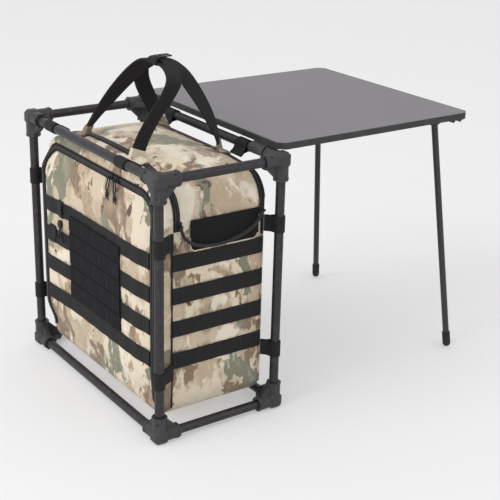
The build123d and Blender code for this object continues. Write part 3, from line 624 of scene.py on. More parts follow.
def tubes(name, grids, finish, closed_path=False):
    """One mesh from closed rings carried along paths, capped at both ends, facing outwards.
    Its UVs are metres along the path and round the ring."""
    points, quads, uvs, caps, base = [], [], [], [], 0
    for grid in grids:
        rings, corners = grid.shape[:2]
        index = base + np.arange(rings * corners).reshape(rings, corners)
        after = np.roll(index, -1, axis=1)
        face = np.stack([index[:-1], after[:-1], after[1:], index[1:]], -1).reshape(-1, 4)
        if closed_path:
            face = np.concatenate([face, np.stack([index[-1], after[-1], after[0], index[0]], -1)])
        centre = grid.mean((0, 1))
        a, b, c, d = (grid.reshape(-1, 3)[face[:, k] - base] - centre for k in range(4))
        volume = np.einsum("ij,ij->", np.cross(a, b), c) + np.einsum("ij,ij->", np.cross(a, c), d)
        flip = volume < 0
        quads.append(face[:, ::-1] if flip else face)
        along = np.broadcast_to(lengths(grid.mean(1))[:, None], (rings, corners))
        round_ring = lengths(grid[rings // 2])
        uvs.append(np.stack([along, np.broadcast_to(round_ring, (rings, corners))], -1).reshape(-1, 2))
        if not closed_path:
            first, last = index[0], index[-1]
            caps += [first[::1 if flip else -1], last[::-1 if flip else 1]]
        points.append(grid.reshape(-1, 3))
        base += rings * corners
    points, quads, uvs = np.concatenate(points), np.concatenate(quads), np.concatenate(uvs)
    mesh = mesh_of(name, points, quads, uvs)
    if caps:
        shape = bmesh.new()
        shape.from_mesh(mesh)
        shape.verts.ensure_lookup_table()
        for cap in caps:
            shape.faces.new([shape.verts[i] for i in cap])
        shape.to_mesh(mesh)
        shape.free()
    mesh.set_sharp_from_angle(angle=radians(50))
    return mesh_object(name, mesh, finish)


def flat_section(width, thick, low=0.0, round_edge=0.4):
    """A strap's section: a flat lozenge from low to low + thick, width across, its edges rounded."""
    half, soft = width / 2, thick * round_edge
    return [(-half + soft, low), (half - soft, low), (half, low + thick / 2), (half - soft, low + thick),
            (-half + soft, low + thick), (-half, low + thick / 2)]


def frames_of(path, out):
    """Unit directions across a path: square to it and to out."""
    return unit(np.cross(out, np.gradient(path, axis=0)))


def ribbon(profile, path, out=None):
    """A profile carried along a path, facing out, or away from the form where out isn't given."""
    out = slope(path) if out is None else np.broadcast_to(out, path.shape)
    return carry(profile, path, frames_of(path, out), out)


def settle(piece, finish_slot, body, *nodes):
    """A finished piece's place: its CAD body, and the nodes that it stands for. Its slot, finish_slot, is not
    used.
    """
    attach(piece, body)
    if nodes:
        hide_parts(*nodes)
    return piece


def sew_on(name, grids, finish, slot, body, *nodes):
    """A settled piece made of closed rings."""
    return settle(tubes(name, grids, finish.material), slot, body, *nodes)


TAPE_THICK, COIL_PITCH, COIL_SHIFT, DOOR_TAPE, LID_TAPE = 0.0010, 0.0028, 0.0017, 0.0060, 0.011


def ribbed(path, width, height, shift=0.0):
    """A zip's coil: a low half-round whose height and width swell once every pitch."""
    swell = 0.72 + 0.28 * np.cos(2 * pi * lengths(path) / COIL_PITCH)
    turn = np.linspace(-0.15 * pi, 1.15 * pi, 6)
    wide = shift + np.cos(turn)[None] * width / 2 * swell[:, None]
    high = TAPE_THICK * 0.8 + (np.sin(turn)[None] + 0.45) * height / 1.45 * swell[:, None]
    return ribbon(np.stack([wide, high], -1), path)


def resampled(path, step):
    """The same line with even steps: interpolated by length."""
    along = lengths(path)
    even = np.linspace(0, along[-1], max(2, int(round(along[-1] / step)) + 1))
    return np.stack([np.interp(even, along, path[:, k]) for k in range(3)], -1)


zip_tape = Finish("zip_tape", specular_ior_level=0.3)
tape_rib = zip_tape.along.wave("X", 230)
fuzz = zip_tape.place.noise(1300, 2)
zip_tape.set(base_color=(0.6 * tape_rib + 0.4 * fuzz).mix(srgb(14, 13, 14), srgb(30, 28, 30)),
             roughness=0.7 + 0.2 * fuzz,
             normal=(0.7 * tape_rib + 0.3 * fuzz).bumped(0.00025, 0.7))
coil = speckled("zip_coil", (400, 2), (22, 21, 23), (46, 44, 47), (0.32, 0.25), coat_weight=0.2)


def door_path(offset):
    """The door zip's line on the bag's face, grown by offset: up the left, round the head, down the right."""
    ring = door_ring(offset, 14)
    line = np.concatenate([ring[-1:], ring[:-1]])
    return points_at(FRONT, line[:, 0], line[:, 1])


FORWARDS, RIGHTWARDS, UPWARDS = np.array((-1.0, 0, 0)), (0.0, -1, 0), (0.0, 0, 1)
for name, body, node, shift, side in (("door_zip_outer_half", "frame", "door_zip_outer", 0.0036, 1),
                                      ("door_zip_inner_half", "door", "door_zip_inner", -0.0036, -1)):
    tape = lay(resampled(door_path(shift), 0.004), 0)
    sew_on(name, [ribbon(flat_section(DOOR_TAPE, TAPE_THICK), tape)], zip_tape, "zip_tape", body, node)
    line = lay(resampled(door_path(side * COIL_SHIFT), COIL_PITCH / 4), 0)
    sew_on(name.replace("half", "coil"), [ribbed(line, 0.0031, 0.0019)], coil, "zip_tape", body)


def roof_line(x, low, left=LID_SEAM_LEFT, step=0.004):
    """A line over the bag at one x: from the left over the top and down the right side to low."""
    top = points_at(x, np.linspace(left, -HALF + 0.03, 60), CROWN)
    turn = np.linspace(pi / 2, 0, 30)[1:]
    bend = points_at(x, -HALF + 0.03 - 0.03 * np.cos(turn), CROWN - 0.05 + 0.03 * np.sin(turn))
    side = points_at(x, -HALF, np.linspace(CROWN - 0.055, low, 20))
    return resampled(lay(np.concatenate([top, bend, side]), 0), step)


ZIP_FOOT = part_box("lid_zips")[0].z
zip_grids, coil_grids = [], []
for x in (FRONT_TAPE, REAR_TAPE):
    zip_grids.append(ribbon(flat_section(LID_TAPE, TAPE_THICK), lay(roof_line(x, ZIP_FOOT), 0.0002)))
    line = lay(roof_line(x, ZIP_FOOT + 0.002, step=COIL_PITCH / 4), 0.0002)
    coil_grids += [ribbed(line, 0.0030, 0.0018, shift) for shift in (-COIL_SHIFT, COIL_SHIFT)]
sew_on("lid_zip_tapes", zip_grids, zip_tape, "zip_tape", "frame", "lid_zips")
sew_on("lid_zip_coils", coil_grids, coil, "zip_tape", "frame")

# ---- Webbing rows ---------------------------------------------------------------------------
# Four rows of black nylon webbing, an inch high, on the door and on each side. Each is sewn
# down with upright bar-tacks every 38 mm, and stands a little proud between them.
TACK_PITCH, WEB_THICK = 0.0381, 0.0016
webbing = Finish("nylon_webbing", specular_ior_level=0.3)
weave = 0.55 * webbing.along.wave("Y", 170) + 0.45 * webbing.along.wave("X", 240)
lint = webbing.place.noise(300, 4, 0.7)
webbing.set(base_color=(0.5 * weave + 0.5 * lint).mix(srgb(15, 14, 15), srgb(34, 32, 34)),
            roughness=0.62 + 0.25 * weave, normal=weave.bumped(0.0003, 0.8))
thread = speckled("bonded_thread", (1500, 1), (24, 23, 25), (52, 50, 54), (0.5, 0.2))


def sewn_row(path, out, width, pitch, thick=WEB_THICK, rise=0.0009, start=0.0):
    """A strap sewn along a path: its section carried along, lifted by rise times the sine between
    bar-tacks."""
    lifted = path + out * (rise * np.abs(np.sin(pi * (lengths(path) + start) / pitch)))[:, None]
    return carry(flat_section(width, thick), lifted, frames_of(path, out), out)


BAR_SECTION = [(-0.0005, -0.0002), (0.0005, -0.0002), (0.0003, 0.0004), (-0.0003, 0.0004)]


def tack_bars(path, out, width, pitch, thick=WEB_THICK, start=0.0):
    """Bar-tacks across a sewn row: one short raised bar of zigzag thread at each sewn place."""
    along, across = lengths(path), frames_of(path, out)
    bars = []
    for place in np.arange(np.ceil(start / pitch), (along[-1] + start) / pitch + 1e-6) * pitch - start:
        at = np.array([np.interp(place, along, path[:, k]) for k in range(3)])
        i = int(np.clip(np.searchsorted(along, place), 0, len(path) - 1))
        span = np.linspace(-width * 0.44, width * 0.44, 20)
        line = at + across[i] * span[:, None] + out[i] * thick
        forward = np.cross(across[i], out[i])
        teeth = 0.0009 * np.where(np.arange(20) % 2, 1, -1)
        line = line + forward * teeth[:, None]
        bars.append(carry(BAR_SECTION, line, np.broadcast_to(forward, line.shape),
                          np.broadcast_to(out[i], line.shape)))
    return bars


row_grids, bar_grids = [], []
ROW_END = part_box("door_webbing")[1].y
for top in ROW_TOPS:
    path = lay(points_at(FRONT, np.linspace(ROW_END, -ROW_END, 160), top - ROW_HEIGHT / 2), 0)
    out = slope(path)
    row_grids.append(sewn_row(path, out, ROW_HEIGHT, TACK_PITCH, start=0.004))
    bar_grids += tack_bars(path, out, ROW_HEIGHT, TACK_PITCH, start=0.004)
sew_on("door_rows", row_grids, webbing, "black_webbing", "door", "door_webbing")
sew_on("door_row_tacks", bar_grids, thread, "black_webbing", "door")

row_grids, bar_grids = [], []
for side in (-1, 1):
    for top in ROW_TOPS:
        straight = np.linspace(web_min[0], REAR - 0.012, 70)
        turn = np.linspace(0, 0.9 * pi / 2, 12)
        x = np.concatenate([straight, REAR - 0.010 + 0.010 * np.sin(turn)])
        y = side * np.concatenate([np.full(70, HALF), HALF - 0.010 + 0.010 * np.cos(turn)])
        path = resampled(lay(points_at(x, y, top - ROW_HEIGHT / 2), 0), 0.002)
        out = slope(path)
        row_grids.append(sewn_row(path, out, ROW_HEIGHT, TACK_PITCH, rise=0.0006, start=0.034))
        bar_grids += tack_bars(path, out, ROW_HEIGHT, TACK_PITCH, start=0.034)
sew_on("side_rows", row_grids, webbing, "black_webbing", "frame", "side_webbing")
sew_on("side_row_tacks", bar_grids, thread, "black_webbing", "frame")

# ---- Door patch -----------------------------------------------------------------------------
# A black panel sewn over the rows: five short runs of webbing on a backing, stitched down in
# a grid, so that each cell is a pocket for a clip.
patch_min, patch_max = box_of("door_patch")
patch_cloth = speckled("patch_cloth", (900, 3, 0.7), (9, 8, 11), (26, 25, 29), (0.75, 0.2), (0.0004, 0.8),
                       specular_ior_level=0.2)
PATCH_ROWS, PATCH_CELLS = 5, 4
patch_min[2] = ROW_TOPS[3] + 0.0008
row_step = (patch_max[2] - patch_min[2]) / PATCH_ROWS
cell = (patch_max[1] - patch_min[1]) / PATCH_CELLS
y = np.linspace(patch_max[1], patch_min[1], 120)
panel = lay(points_at(FRONT, y, (patch_max[2] + patch_min[2]) / 2), FRONT - patch_max[0])
out = slope(panel)
backing = ribbon(flat_section(patch_max[2] - patch_min[2], 0.0012), panel)
strips, bars = [], []
for row in range(PATCH_ROWS):
    path = panel.copy()
    path[:, 2] = patch_max[2] - (row + 0.5) * row_step
    path[:, 0] -= 0.0008
    shift = 0.5 * cell * (row % 2)
    strips.append(sewn_row(path, out, row_step * 0.95, cell, rise=0.0005, thick=0.0011, start=shift))
    bars += tack_bars(path, out, row_step * 0.9, cell, thick=0.0012, start=shift)
sew_on("patch_backing", [backing], patch_cloth, "patch_fabric", "door", "door_patch")
sew_on("patch_runs", strips, patch_cloth, "patch_fabric", "door")
sew_on("patch_tacks", bars, thread, "patch_fabric", "door")

# ---- Lid flap band --------------------------------------------------------------------------
# The lid's side flap ends in a black hook-and-loop band. Behind and below it shows a black
# backing, its lower edge rounded and piped in the bag's cream cloth.
hook = speckled("hook_and_loop", (1700, 3, 0.75), (13, 12, 13), (36, 34, 36), (0.85, 0.15), (0.0009, 0.9),
                specular_ior_level=0.25)
band_min, band_max = box_of("flap_band")
back_min, back_max = box_of("flap_backing")


def side_panel(x_low, x_high, z_low, z_high, lift, thick, *, foot_round=0.0, step=0.004, flare=0.0):
    """A panel on the right side: closed slab over a rectangle, its two lower corners rounded, and its
    lower edge standing flare further out than its upper one."""
    x = np.linspace(x_low, x_high, int((x_high - x_low) / step) + 1)
    reach = np.minimum(x - x_low, x_high - x)
    arc = foot_round - np.sqrt(np.maximum(foot_round ** 2 - (foot_round - reach) ** 2, 0))
    drop = np.where(reach < foot_round, arc, 0)
    height = z_high - z_low - drop
    path = points_at(x, -HALF - lift - flare / 2, (z_high + z_low + drop) / 2)
    across = np.broadcast_to((0.0, flare / (z_high - z_low), 1), path.shape)
    ring = np.array(flat_section(1, thick, round_edge=0))
    profile = np.stack(np.broadcast_arrays(ring[:, 0] * height[:, None], ring[:, 1]), -1)
    return carry(profile, path, across, np.broadcast_to(RIGHTWARDS, path.shape))


band = side_panel(band_min[0], band_max[0], band_min[2], band_max[2], 0.0006, 0.0016, flare=0.0018)
sew_on("flap_hook_band", [band], hook, "hook_tape", "frame", "flap_band")
backing = side_panel(back_min[0], back_max[0], back_min[2], back_max[2] + 0.004, 0.0002, 0.0008,
                     foot_round=0.0085, step=0.001)
sew_on("flap_black_backing", [backing], hook, "hook_tape", "frame", "flap_backing")


def round_section(radius, corners=8):
    """A circle's points."""
    turn = np.arange(corners) * 2 * pi / corners
    return np.stack([radius * np.cos(turn), radius * np.sin(turn)], -1)


def stitches(name, lines, pitch, length, radius, finish):
    """Rows of stitches: a slim six-sided bead for each, laid along its line and half sunk in the cloth."""
    points, faces, base = [], [], 0
    shape = np.array([(-0.5, 0, 0), (0, -1, 0), (0, 0, 1), (0, 1, 0), (0, 0, -1), (0.5, 0, 0)], float)
    bead = np.array([(0, 2, 1), (0, 3, 2), (0, 4, 3), (0, 1, 4), (5, 1, 2), (5, 2, 3), (5, 3, 4), (5, 4, 1)])
    for path, out in lines:
        along = lengths(path)
        places = np.arange(pitch / 2, along[-1], pitch)
        at = np.stack([np.interp(places, along, path[:, k]) for k in range(3)], -1)
        up = np.stack([np.interp(places, along, out[:, k]) for k in range(3)], -1)
        ahead = [np.interp(places, along, np.gradient(path[:, k], along)) for k in range(3)]
        ahead = unit(np.stack(ahead, -1))
        axes = (length * ahead, radius * np.cross(up, ahead), radius * up)
        block = at[:, None] + sum(shape[None, :, k:k + 1] * axis[:, None] for k, axis in enumerate(axes))
        points.append(block.reshape(-1, 3))
        faces.append((base + np.arange(len(places))[:, None, None] * 6 + bead).reshape(-1, 3))
        base += len(places) * 6
    return mesh_object(name, mesh_of(name, np.concatenate(points), np.concatenate(faces)), finish)


lower = backing[:, 0]
front_leg = (back_min[0] - 0.0002, lower[0, 1], FLAP_LOW + 0.012)
piping_path = resampled(np.concatenate([[front_leg], lower]), 0.002)
piping_path[:, 1] = -HALF - 0.0012
sew_on("flap_piping", [ribbon(round_section(0.0011), piping_path, RIGHTWARDS)], camo, "camo_fabric", "frame")

# ---- Piping, stitched seams and handle tabs -------------------------------------------------
# Camouflage piping covers the bag's rear corners, and black binding its front corners and the
# lid's rear edge. Cream thread tops the lid's hinge seam, and black thread holds the zips down.
pipes = {"rear_corner_piping": (REAR - 0.0029, SIDE_SPRING + 0.012, 0.0017, camo),
         "side_seam_binding": (web_min[0] - 0.0012, FLAP_LOW + 0.012, 0.0015, zip_tape)}
for name, (x, top, thick, finish) in pipes.items():
    pipe_grids = []
    for side in (-1, 1):
        z = np.linspace(LOW + 0.012, top, 70)
        path = lay(points_at(x, side * (HALF - 0.003), z), 0.0003)
        pipe_grids.append(ribbon(round_section(thick), path))
    sew_on(name, pipe_grids, finish, "camo_fabric", "frame")

rear_edge = lay(roof_line(REAR - 0.006, ROW_TOPS[0] + 0.004, left=HALF - 0.04), 0.0006)
sew_on("rear_binding", [ribbon(round_section(0.0021), rear_edge)], zip_tape, "zip_tape", "frame")

cream_thread = speckled("cream_thread", (1500, 1), (176, 160, 132), (214, 200, 174), (0.6, 0.2))


def sewn(path, lift):
    """A seam: a path laid lift above the form, and the way it faces."""
    path = lay(path, lift)
    return path, slope(path)


FINE_STITCH = (0.0032, 0.0022, 0.0003)
x = np.linspace(LID_SEAM_FRONT + 0.004, LID_SEAM_REAR - 0.004, 80)
seams = [sewn(points_at(x, y, CROWN - 0.02), 0.0004) for y in (LID_SEAM_LEFT + 0.004, LID_SEAM_LEFT - 0.004)]
seams += [sewn(roof_line(x, FLAP_TOP + 0.003), 0.0004) for x in (FRONT_TAPE + 0.0085, REAR_TAPE - 0.0085)]
path = points_at(np.linspace(band_min[0] + 0.003, band_max[0] - 0.003, 60), -HALF - 0.0004,
                 band_max[2] + 0.004)
seams.append((path, np.broadcast_to(RIGHTWARDS, path.shape)))
settle(stitches("cream_stitching", seams, 0.0034, 0.0024, 0.00035, cream_thread.material),
       "camo_fabric", "frame")
dark_seams = [sewn(roof_line(tape + edge, ZIP_FOOT + 0.002), TAPE_THICK + 0.0002)
              for tape in (FRONT_TAPE, REAR_TAPE) for edge in (-0.0046, 0.0046)]
settle(stitches("lid_zip_stitching", dark_seams, *FINE_STITCH, thread.material), "zip_tape", "frame")
for name, offset, body in (("door_tape_stitching", 0.0058, "frame"), ("door_edge_stitching", -0.0058, "door")):
    seam = sewn(resampled(door_path(offset), 0.004), TAPE_THICK + 0.0001)
    settle(stitches(name, [seam], *FINE_STITCH, thread.material), "zip_tape", body)

# ---- Handles --------------------------------------------------------------------------------
# Two arches of black webbing, stitched along both edges and narrowed where they fold, each foot
# sewn under a camouflage tab on the lid. The crowns meet in a stitched wrap with a small buckle.
FEET_X = [float(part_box("handle_tabs")[0].x) + 0.013, float(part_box("handle_tabs")[1].x) - 0.013]
wrap_min, wrap_max = box_of("handle_wrap")
WRAP_Y, WRAP_Z = (wrap_min[1] + wrap_max[1]) / 2 - 0.006, (wrap_min[2] + wrap_max[2]) / 2
FOOT_Y, HANDLE_WIDE, HANDLE_THICK = 0.086, 0.0254, 0.0026


def smooth_through(knots, count):
    """A curve through knots: each span's cubic leaves and reaches its knots along the line between
    their neighbours."""
    knots = np.asarray(knots, float)
    padded = np.concatenate([2 * knots[:1] - knots[1:2], knots, 2 * knots[-1:] - knots[-2:-1]])
    t = np.linspace(0, len(knots) - 1 - 1e-9, count)
    i, t = t.astype(int), (t % 1)[:, None]
    a, b, c, d = (padded[i + k] for k in range(4))
    return 0.5 * (2 * b + (c - a) * t + (2 * a - 5 * b + 4 * c - d) * t ** 2 + (3 * b - a - 3 * c + d) * t ** 3)


def arm(foot_x, crown, route, foot_twist, crown_twist):
    """Half of a handle as strap stations, foot to crown. The route's points are shares of a foot's
    distance from the middle and of the crown's height. A twist that eases upwards turns the strap."""
    base = lay(np.array([(foot_x, route[0][0] * FOOT_Y, CROWN)]), 0.001)[0]
    rise = crown[2] - base[2]
    knots = [base - (0, 0, 0.004)]
    for share, high in route[1:]:
        knots.append((foot_x + (crown[0] - foot_x) * high, share * FOOT_Y, base[2] + rise * high))
    knots.append(crown)
    path = resampled(smooth_through(knots, 160), 0.003)
    share = lengths(path) / lengths(path)[-1]
    ahead = unit(np.gradient(path, axis=0))
    flat = unit(np.array((1.0, 0, 0)) - ahead * ahead[:, :1])
    face = np.cross(flat, ahead)
    turn = radians(foot_twist) + radians(crown_twist - foot_twist) * ease(share / 0.8)[:, None]
    return path, flat * np.cos(turn) + face * np.sin(turn), face * np.cos(turn) - flat * np.sin(turn), share


def strap_grid(path, flat, face, wide, thick):
    """A handle's section carried along an arm, as wide and thick at each station as given."""
    section = np.array(flat_section(1, 1, low=-0.5, round_edge=0.0))
    section[:, 0] *= [0.94, 0.94, 1, 0.94, 0.94, 1]
    return carry(section * np.stack([wide, thick], -1)[:, None], path, flat, face)


# An arm is its route, its twist in degrees at the foot and at the crown, and how much of its width
# the foot keeps. A handle is its feet's x, its crown's shift in x and z, and its two arms.
FRONT_ARMS = (
    (((-0.88, 0), (-0.86, 0.22), (-0.92, 0.48), (-1.04, 0.74), (-1.0, 0.90), (-0.70, 1.0)), -10, 0, 1.0),
    (((1.0, 0), (0.88, 0.14), (0.72, 0.37), (0.49, 0.63), (0.22, 0.85), (-0.02, 0.965)), -26, 30, 0.5))
REAR_ARMS = (
    (((-1.0, 0), (-1.06, 0.25), (-1.09, 0.53), (-1.0, 0.76), (-0.84, 0.92), (-0.55, 1.0)), -56, 0, 0.6),
    (((1.0, 0), (1.07, 0.27), (0.98, 0.55), (0.66, 0.78), (0.22, 0.93)), 10, 0, 0.9))
STRAP_STITCH, SEAM_INSET, TAB_REACH = (0.0036, 0.0026, 0.0003), 0.0100, 0.021
handles = {"handle_front": (FEET_X[0], -0.0030, -0.0026, FRONT_ARMS),
           "handle_rear": (FEET_X[1], 0.0030, 0.0026, REAR_ARMS)}
tab_grids = []
for node, (foot_x, crown_shift, crown_lift, arms) in handles.items():
    grids, lines = [], []
    for route, foot_twist, crown_twist, fold in arms:
        crown = (MIDDLE + crown_shift, WRAP_Y, WRAP_Z + crown_lift)
        path, flat, face, share = arm(foot_x, crown, route, foot_twist, crown_twist)
        folded = (1 - fold) * (1 - ease(share / 0.35)) + 0.45 * ease((share - 0.84) / 0.12)
        wide, thick = HANDLE_WIDE * (1 - folded), HANDLE_THICK * (1 + folded)
        grids.append(strap_grid(path, flat, face, wide, thick))
        keep = (share > 0.35) & (share < 0.86)
        for edge in (-1, 1):
            for ply in (-1, 1):
                line = path[keep] + flat[keep] * edge * SEAM_INSET + face[keep] * ply * HANDLE_THICK / 2
                lines.append((line, face[keep] * ply))
        foot = lengths(path) < TAB_REACH
        hug = 0.0026 + 0.0022 * (1 - lengths(path)[foot] / TAB_REACH)
        tab_grids.append(strap_grid(path[foot], flat[foot], face[foot], wide[foot] + 0.0024, thick[foot] + hug))
    sew_on(node.replace("handle", "strap"), grids, webbing, "black_webbing", "frame", node)
    settle(stitches(node.replace("handle", "strap_stitching"), lines, *STRAP_STITCH, thread.material),
           "black_webbing", "frame")

for foot_x in FEET_X:
    for side in (-1, 1):
        y = np.linspace(side * (FOOT_Y - 0.011), side * (FOOT_Y + 0.013), 16)
        path = lay(points_at(foot_x, y, CROWN), 0.0016)
        out = slope(path)
        folded = path + out * 0.0016 * np.sin(np.linspace(0, pi, 16))[:, None]
        tab_grids.append(carry(flat_section(0.021, 0.0020), folded, frames_of(path, out), out))
sew_on("lid_handle_tabs", tab_grids, camo, "camo_fabric", "frame", "handle_tabs")

# The wrap's rings are blunt ovals, pinched in width at its middle and swollen in height
turn = np.linspace(0, 2 * pi, 40, endpoint=False)
WRAP_HALF, WRAP_WIDE, WRAP_HIGH = 0.012, 0.0125, 0.0068
wrap_y = np.linspace(-WRAP_HALF, WRAP_HALF, 15)
rings = []
for y in wrap_y:
    half_wide = WRAP_WIDE * (1 - 0.10 * cos(y / WRAP_HALF * pi / 2))
    half_high = WRAP_HIGH * (1 + 0.1 * cos(y / WRAP_HALF * pi))
    wide = half_wide * np.sign(np.cos(turn)) * np.abs(np.cos(turn)) ** 0.7
    high = half_high * np.sign(np.sin(turn)) * np.abs(np.sin(turn)) ** 0.8
    rings.append(points_at(MIDDLE + wide, WRAP_Y + y, WRAP_Z + high))
sew_on("crown_wrap", [np.array(rings)], webbing, "black_webbing", "frame", "handle_wrap")
wrap_lines = []
for y in (-0.0085, 0.0085):
    row = np.array(rings)[int(np.argmin(np.abs(wrap_y - y)))]
    row = np.concatenate([row, row[:1]])
    wrap_lines.append((row, unit(row - (MIDDLE, WRAP_Y + y, WRAP_Z))))
settle(stitches("wrap_stitching", wrap_lines, 0.0032, 0.0023, 0.0004, thread.material),
       "black_webbing", "frame")

buckle_finish = speckled("buckle_plastic", (1800, 2), (20, 20, 21), (38, 37, 39), (0.34, 0.2))
middle = np.array((MIDDLE, WRAP_Y, WRAP_Z + 0.0078))
spans = [((-0.010, y, 0), (0.012, y, 0), 0.0032) for y in (-0.016, -0.004)]
spans += [((x, -0.017, 0), (x, -0.003, 0), 0.0030) for x in (-0.009, 0.001, 0.011)]
bars = [ribbon(flat_section(wide, 0.0022), np.linspace(middle + start, middle + end, 8), UPWARDS)
        for start, end, wide in spans]
sew_on("wrap_buckle", bars, buckle_finish, "black_webbing", "frame")

# ---- Webbing loops on the frame -------------------------------------------------------------
# The bag hangs in the frame from short webbing loops round its posts and top rails. Each goes
# round the tube and back to the bag, where its two plies are sewn together.
TUBE_R, LOOP_THICK, LOOP_WIDE = 0.0071, 0.0015, 0.0254


def loop_stations(centre, towards, axis, reach):
    """A strap's middle line: from the bag round a tube and back. towards and axis are unit directions."""
    radius, open_by, near = TUBE_R + LOOP_THICK / 2 + 0.0001, 0.55, LOOP_THICK * 0.62
    side = np.cross(axis, towards)
    turn = np.linspace(open_by, 2 * pi - open_by, 44)[:, None]
    ring = radius * (np.cos(turn) * towards + np.sin(turn) * side)
    leg = np.linspace(reach, radius * 1.7, 8)[:, None]
    line = centre + np.concatenate([leg * towards + near * side, ring, leg[::-1] * towards - near * side])
    return resampled(line, 0.0015)


def loop_grid(centre, towards, axis, reach, wide):
    """The closed strap of one loop."""
    centre, towards, axis = (np.asarray(v, float) for v in (centre, towards, axis))
    path = loop_stations(centre, unit(towards), axis, reach)
    across = np.broadcast_to(axis, path.shape)
    return carry(flat_section(wide, LOOP_THICK, low=-LOOP_THICK / 2, round_edge=0.25), path, across,
                 np.cross(across, unit(np.gradient(path, axis=0))))


POSTS = {(e, s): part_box(f"post_{e}_{s}") for e in ("front", "table") for s in ("right", "left")}
loops_low, loops_high = (c.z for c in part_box("post_loops"))
loop_grids = []
for (end, side), (low, high) in POSTS.items():
    x, y = (low.x + high.x) / 2, (low.y + high.y) / 2
    towards, reach = ((1, -0.466 * np.sign(y), 0), 0.0345)
    if end == "table":
        towards, reach = (-1, -np.sign(y), 0), 0.0225
    for z in (loops_low + LOOP_WIDE / 2, loops_high - LOOP_WIDE / 2):
        loop_grids.append(loop_grid((x, y, z), towards, UPWARDS, reach, LOOP_WIDE))
sew_on("post_straps", loop_grids, webbing, "black_webbing", "frame", "post_loops")
loop_grids = []
for end, places, towards, reach in (("front", (-0.100, 0.1235), (0.978, 0, -0.208), 0.0225),
                                    ("table", (-0.1035, 0.1035), (-0.766, 0, -0.643), 0.0215)):
    low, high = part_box(f"rail_top_{end}")
    x, z = (low.x + high.x) / 2, (low.z + high.z) / 2
    loop_grids += [loop_grid((x, y, z), towards, (0, 1, 0), reach, 0.028) for y in places]
sew_on("rail_straps", loop_grids, webbing, "black_webbing", "frame", "rail_loops")

# ---- Label ----------------------------------------------------------------------------------
# A blank woven label on the lid, off-white, sewn round its edge.
label_min, label_max = box_of("lid_label")
label_cloth = speckled("label_cloth", (1200, 2), (205, 203, 201), (232, 231, 228), (0.75, 0.15),
                       (0.0003, 0.6), sheen_weight=0.1)
x = np.linspace(label_min[0], label_max[0], 24)
path = lay(points_at(x, (label_min[1] + label_max[1]) / 2, CROWN), 0.0010)
label = ribbon(flat_section(label_max[1] - label_min[1], 0.0007, round_edge=0.2), path)
sew_on("blank_label", [label], label_cloth, "label_fabric", "frame", "lid_label")

# ---- Keeper ---------------------------------------------------------------------------------
# A rubber-coated grip loops over the top row at the left, with a small cord lock and its two cord
# ends below it, and a black pull tab hanging under that.
grip_min, grip_max = box_of("keeper_band")
tab_min, tab_max = box_of("keeper_tab")
keeper_swell = float(front_swell(grip_min))
for corner in (grip_min, grip_max, tab_min, tab_max):
    corner[0] -= keeper_swell
grip_mid = (grip_min + grip_max) / 2
grip_path = smooth_through([(grip_max[0] + 0.001, grip_mid[1], grip_min[2] + 0.004),
                            (grip_min[0] + 0.0005, grip_mid[1], grip_min[2] + 0.010),
                            (grip_min[0] - 0.0004, grip_mid[1], grip_mid[2]),
                            (grip_min[0] + 0.0003, grip_mid[1], grip_max[2] - 0.006),
                            (grip_max[0] + 0.001, grip_mid[1], grip_max[2] - 0.001)], 40)
grip = ribbon(flat_section(grip_max[1] - grip_min[1], 0.0032, low=-0.0016), grip_path, FORWARDS)
sew_on("keeper_grip", [grip], rubber, "black_webbing", "door", "keeper_band")
lock = points_at(tab_min[0] + 0.001, grip_mid[1], np.linspace(grip_min[2], grip_min[2] - 0.012, 12))
swell = 0.7 + 0.3 * np.sin(np.linspace(0, pi, 12))
lock_grid = carry(round_section(0.0046, 14)[None] * swell[:, None, None], lock,
                  np.broadcast_to((0.0, 1, 0), lock.shape), np.broadcast_to(FORWARDS, lock.shape))
sew_on("keeper_cord_lock", [lock_grid], buckle_finish, "slider_metal", "door")
tails = []
for reach, drift in ((0.024, -0.006), (0.019, 0.005)):
    knots = ((0.001, drift * 0.2, 0.002), (-0.0006, drift * 0.3, -0.004),
             (-0.0012, drift * 0.8, -reach * 0.6), (-0.0004, drift, -reach))
    path = smooth_through([lock[-1] + knot for knot in knots], 24)
    across = np.broadcast_to((1.0, 0, 0), path.shape)
    beads = round_section(0.0013, 8) * (1 + 0.12 * np.sin(lengths(path) * 2400))[:, None, None]
    tails.append(carry(beads, path, across, np.cross(unit(np.gradient(path, axis=0)), across)))
sew_on("keeper_tails", tails, buckle_finish, "cord", "door")
z = np.linspace(tab_max[2], tab_min[2], 30)
share = np.linspace(0, 1, 30)
taper = np.sqrt(np.clip(1.02 - ((share - 0.5) / 0.52) ** 6, 0.05, 1))
wide = (tab_max[1] - tab_min[1]) * (0.72 + 0.28 * np.sin(np.clip(share * 1.25, 0, 1) * pi)) * taper
path = points_at(tab_max[0] - 0.0008 * np.sin(share * pi), (tab_min[1] + tab_max[1]) / 2, z)
section = np.array(flat_section(1, 0.0022, round_edge=0))
profile = np.stack(np.broadcast_arrays(section[:, 0] * wide[:, None], section[:, 1]), -1)
sew_on("keeper_pull_tab", [ribbon(profile, path, FORWARDS)], webbing, "black_webbing", "door", "keeper_tab")

# ---- Zip sliders ----------------------------------------------------------------------------
# Die-cast sliders, black-plated: two on the door's zip and two on the lid's.
plated = speckled("black_plating", (500, 3), (46, 45, 47), (120, 118, 116), (0.3, 0.2), edges=(0.5, 0.8),
                  metallic=0.9)
dress(plated.material, "door_slider_left", "door_slider_right", "lid_sliders")

# ---- Pull cords -----------------------------------------------------------------------------
# Black braided cord: a loop through each door slider's peg, tied off in a knot, and one thicker
# cord that hangs between the lid's two sliders.
braid = Finish("braided_cord", sheen_weight=0.1)
strand = braid.place.wave("DIAGONAL", 150, 2.0)
braid.set(base_color=strand.mix(srgb(6, 6, 7), srgb(25, 24, 25)), roughness=0.6 + 0.2 * strand,
          normal=strand.bumped(0.0004, 0.8))


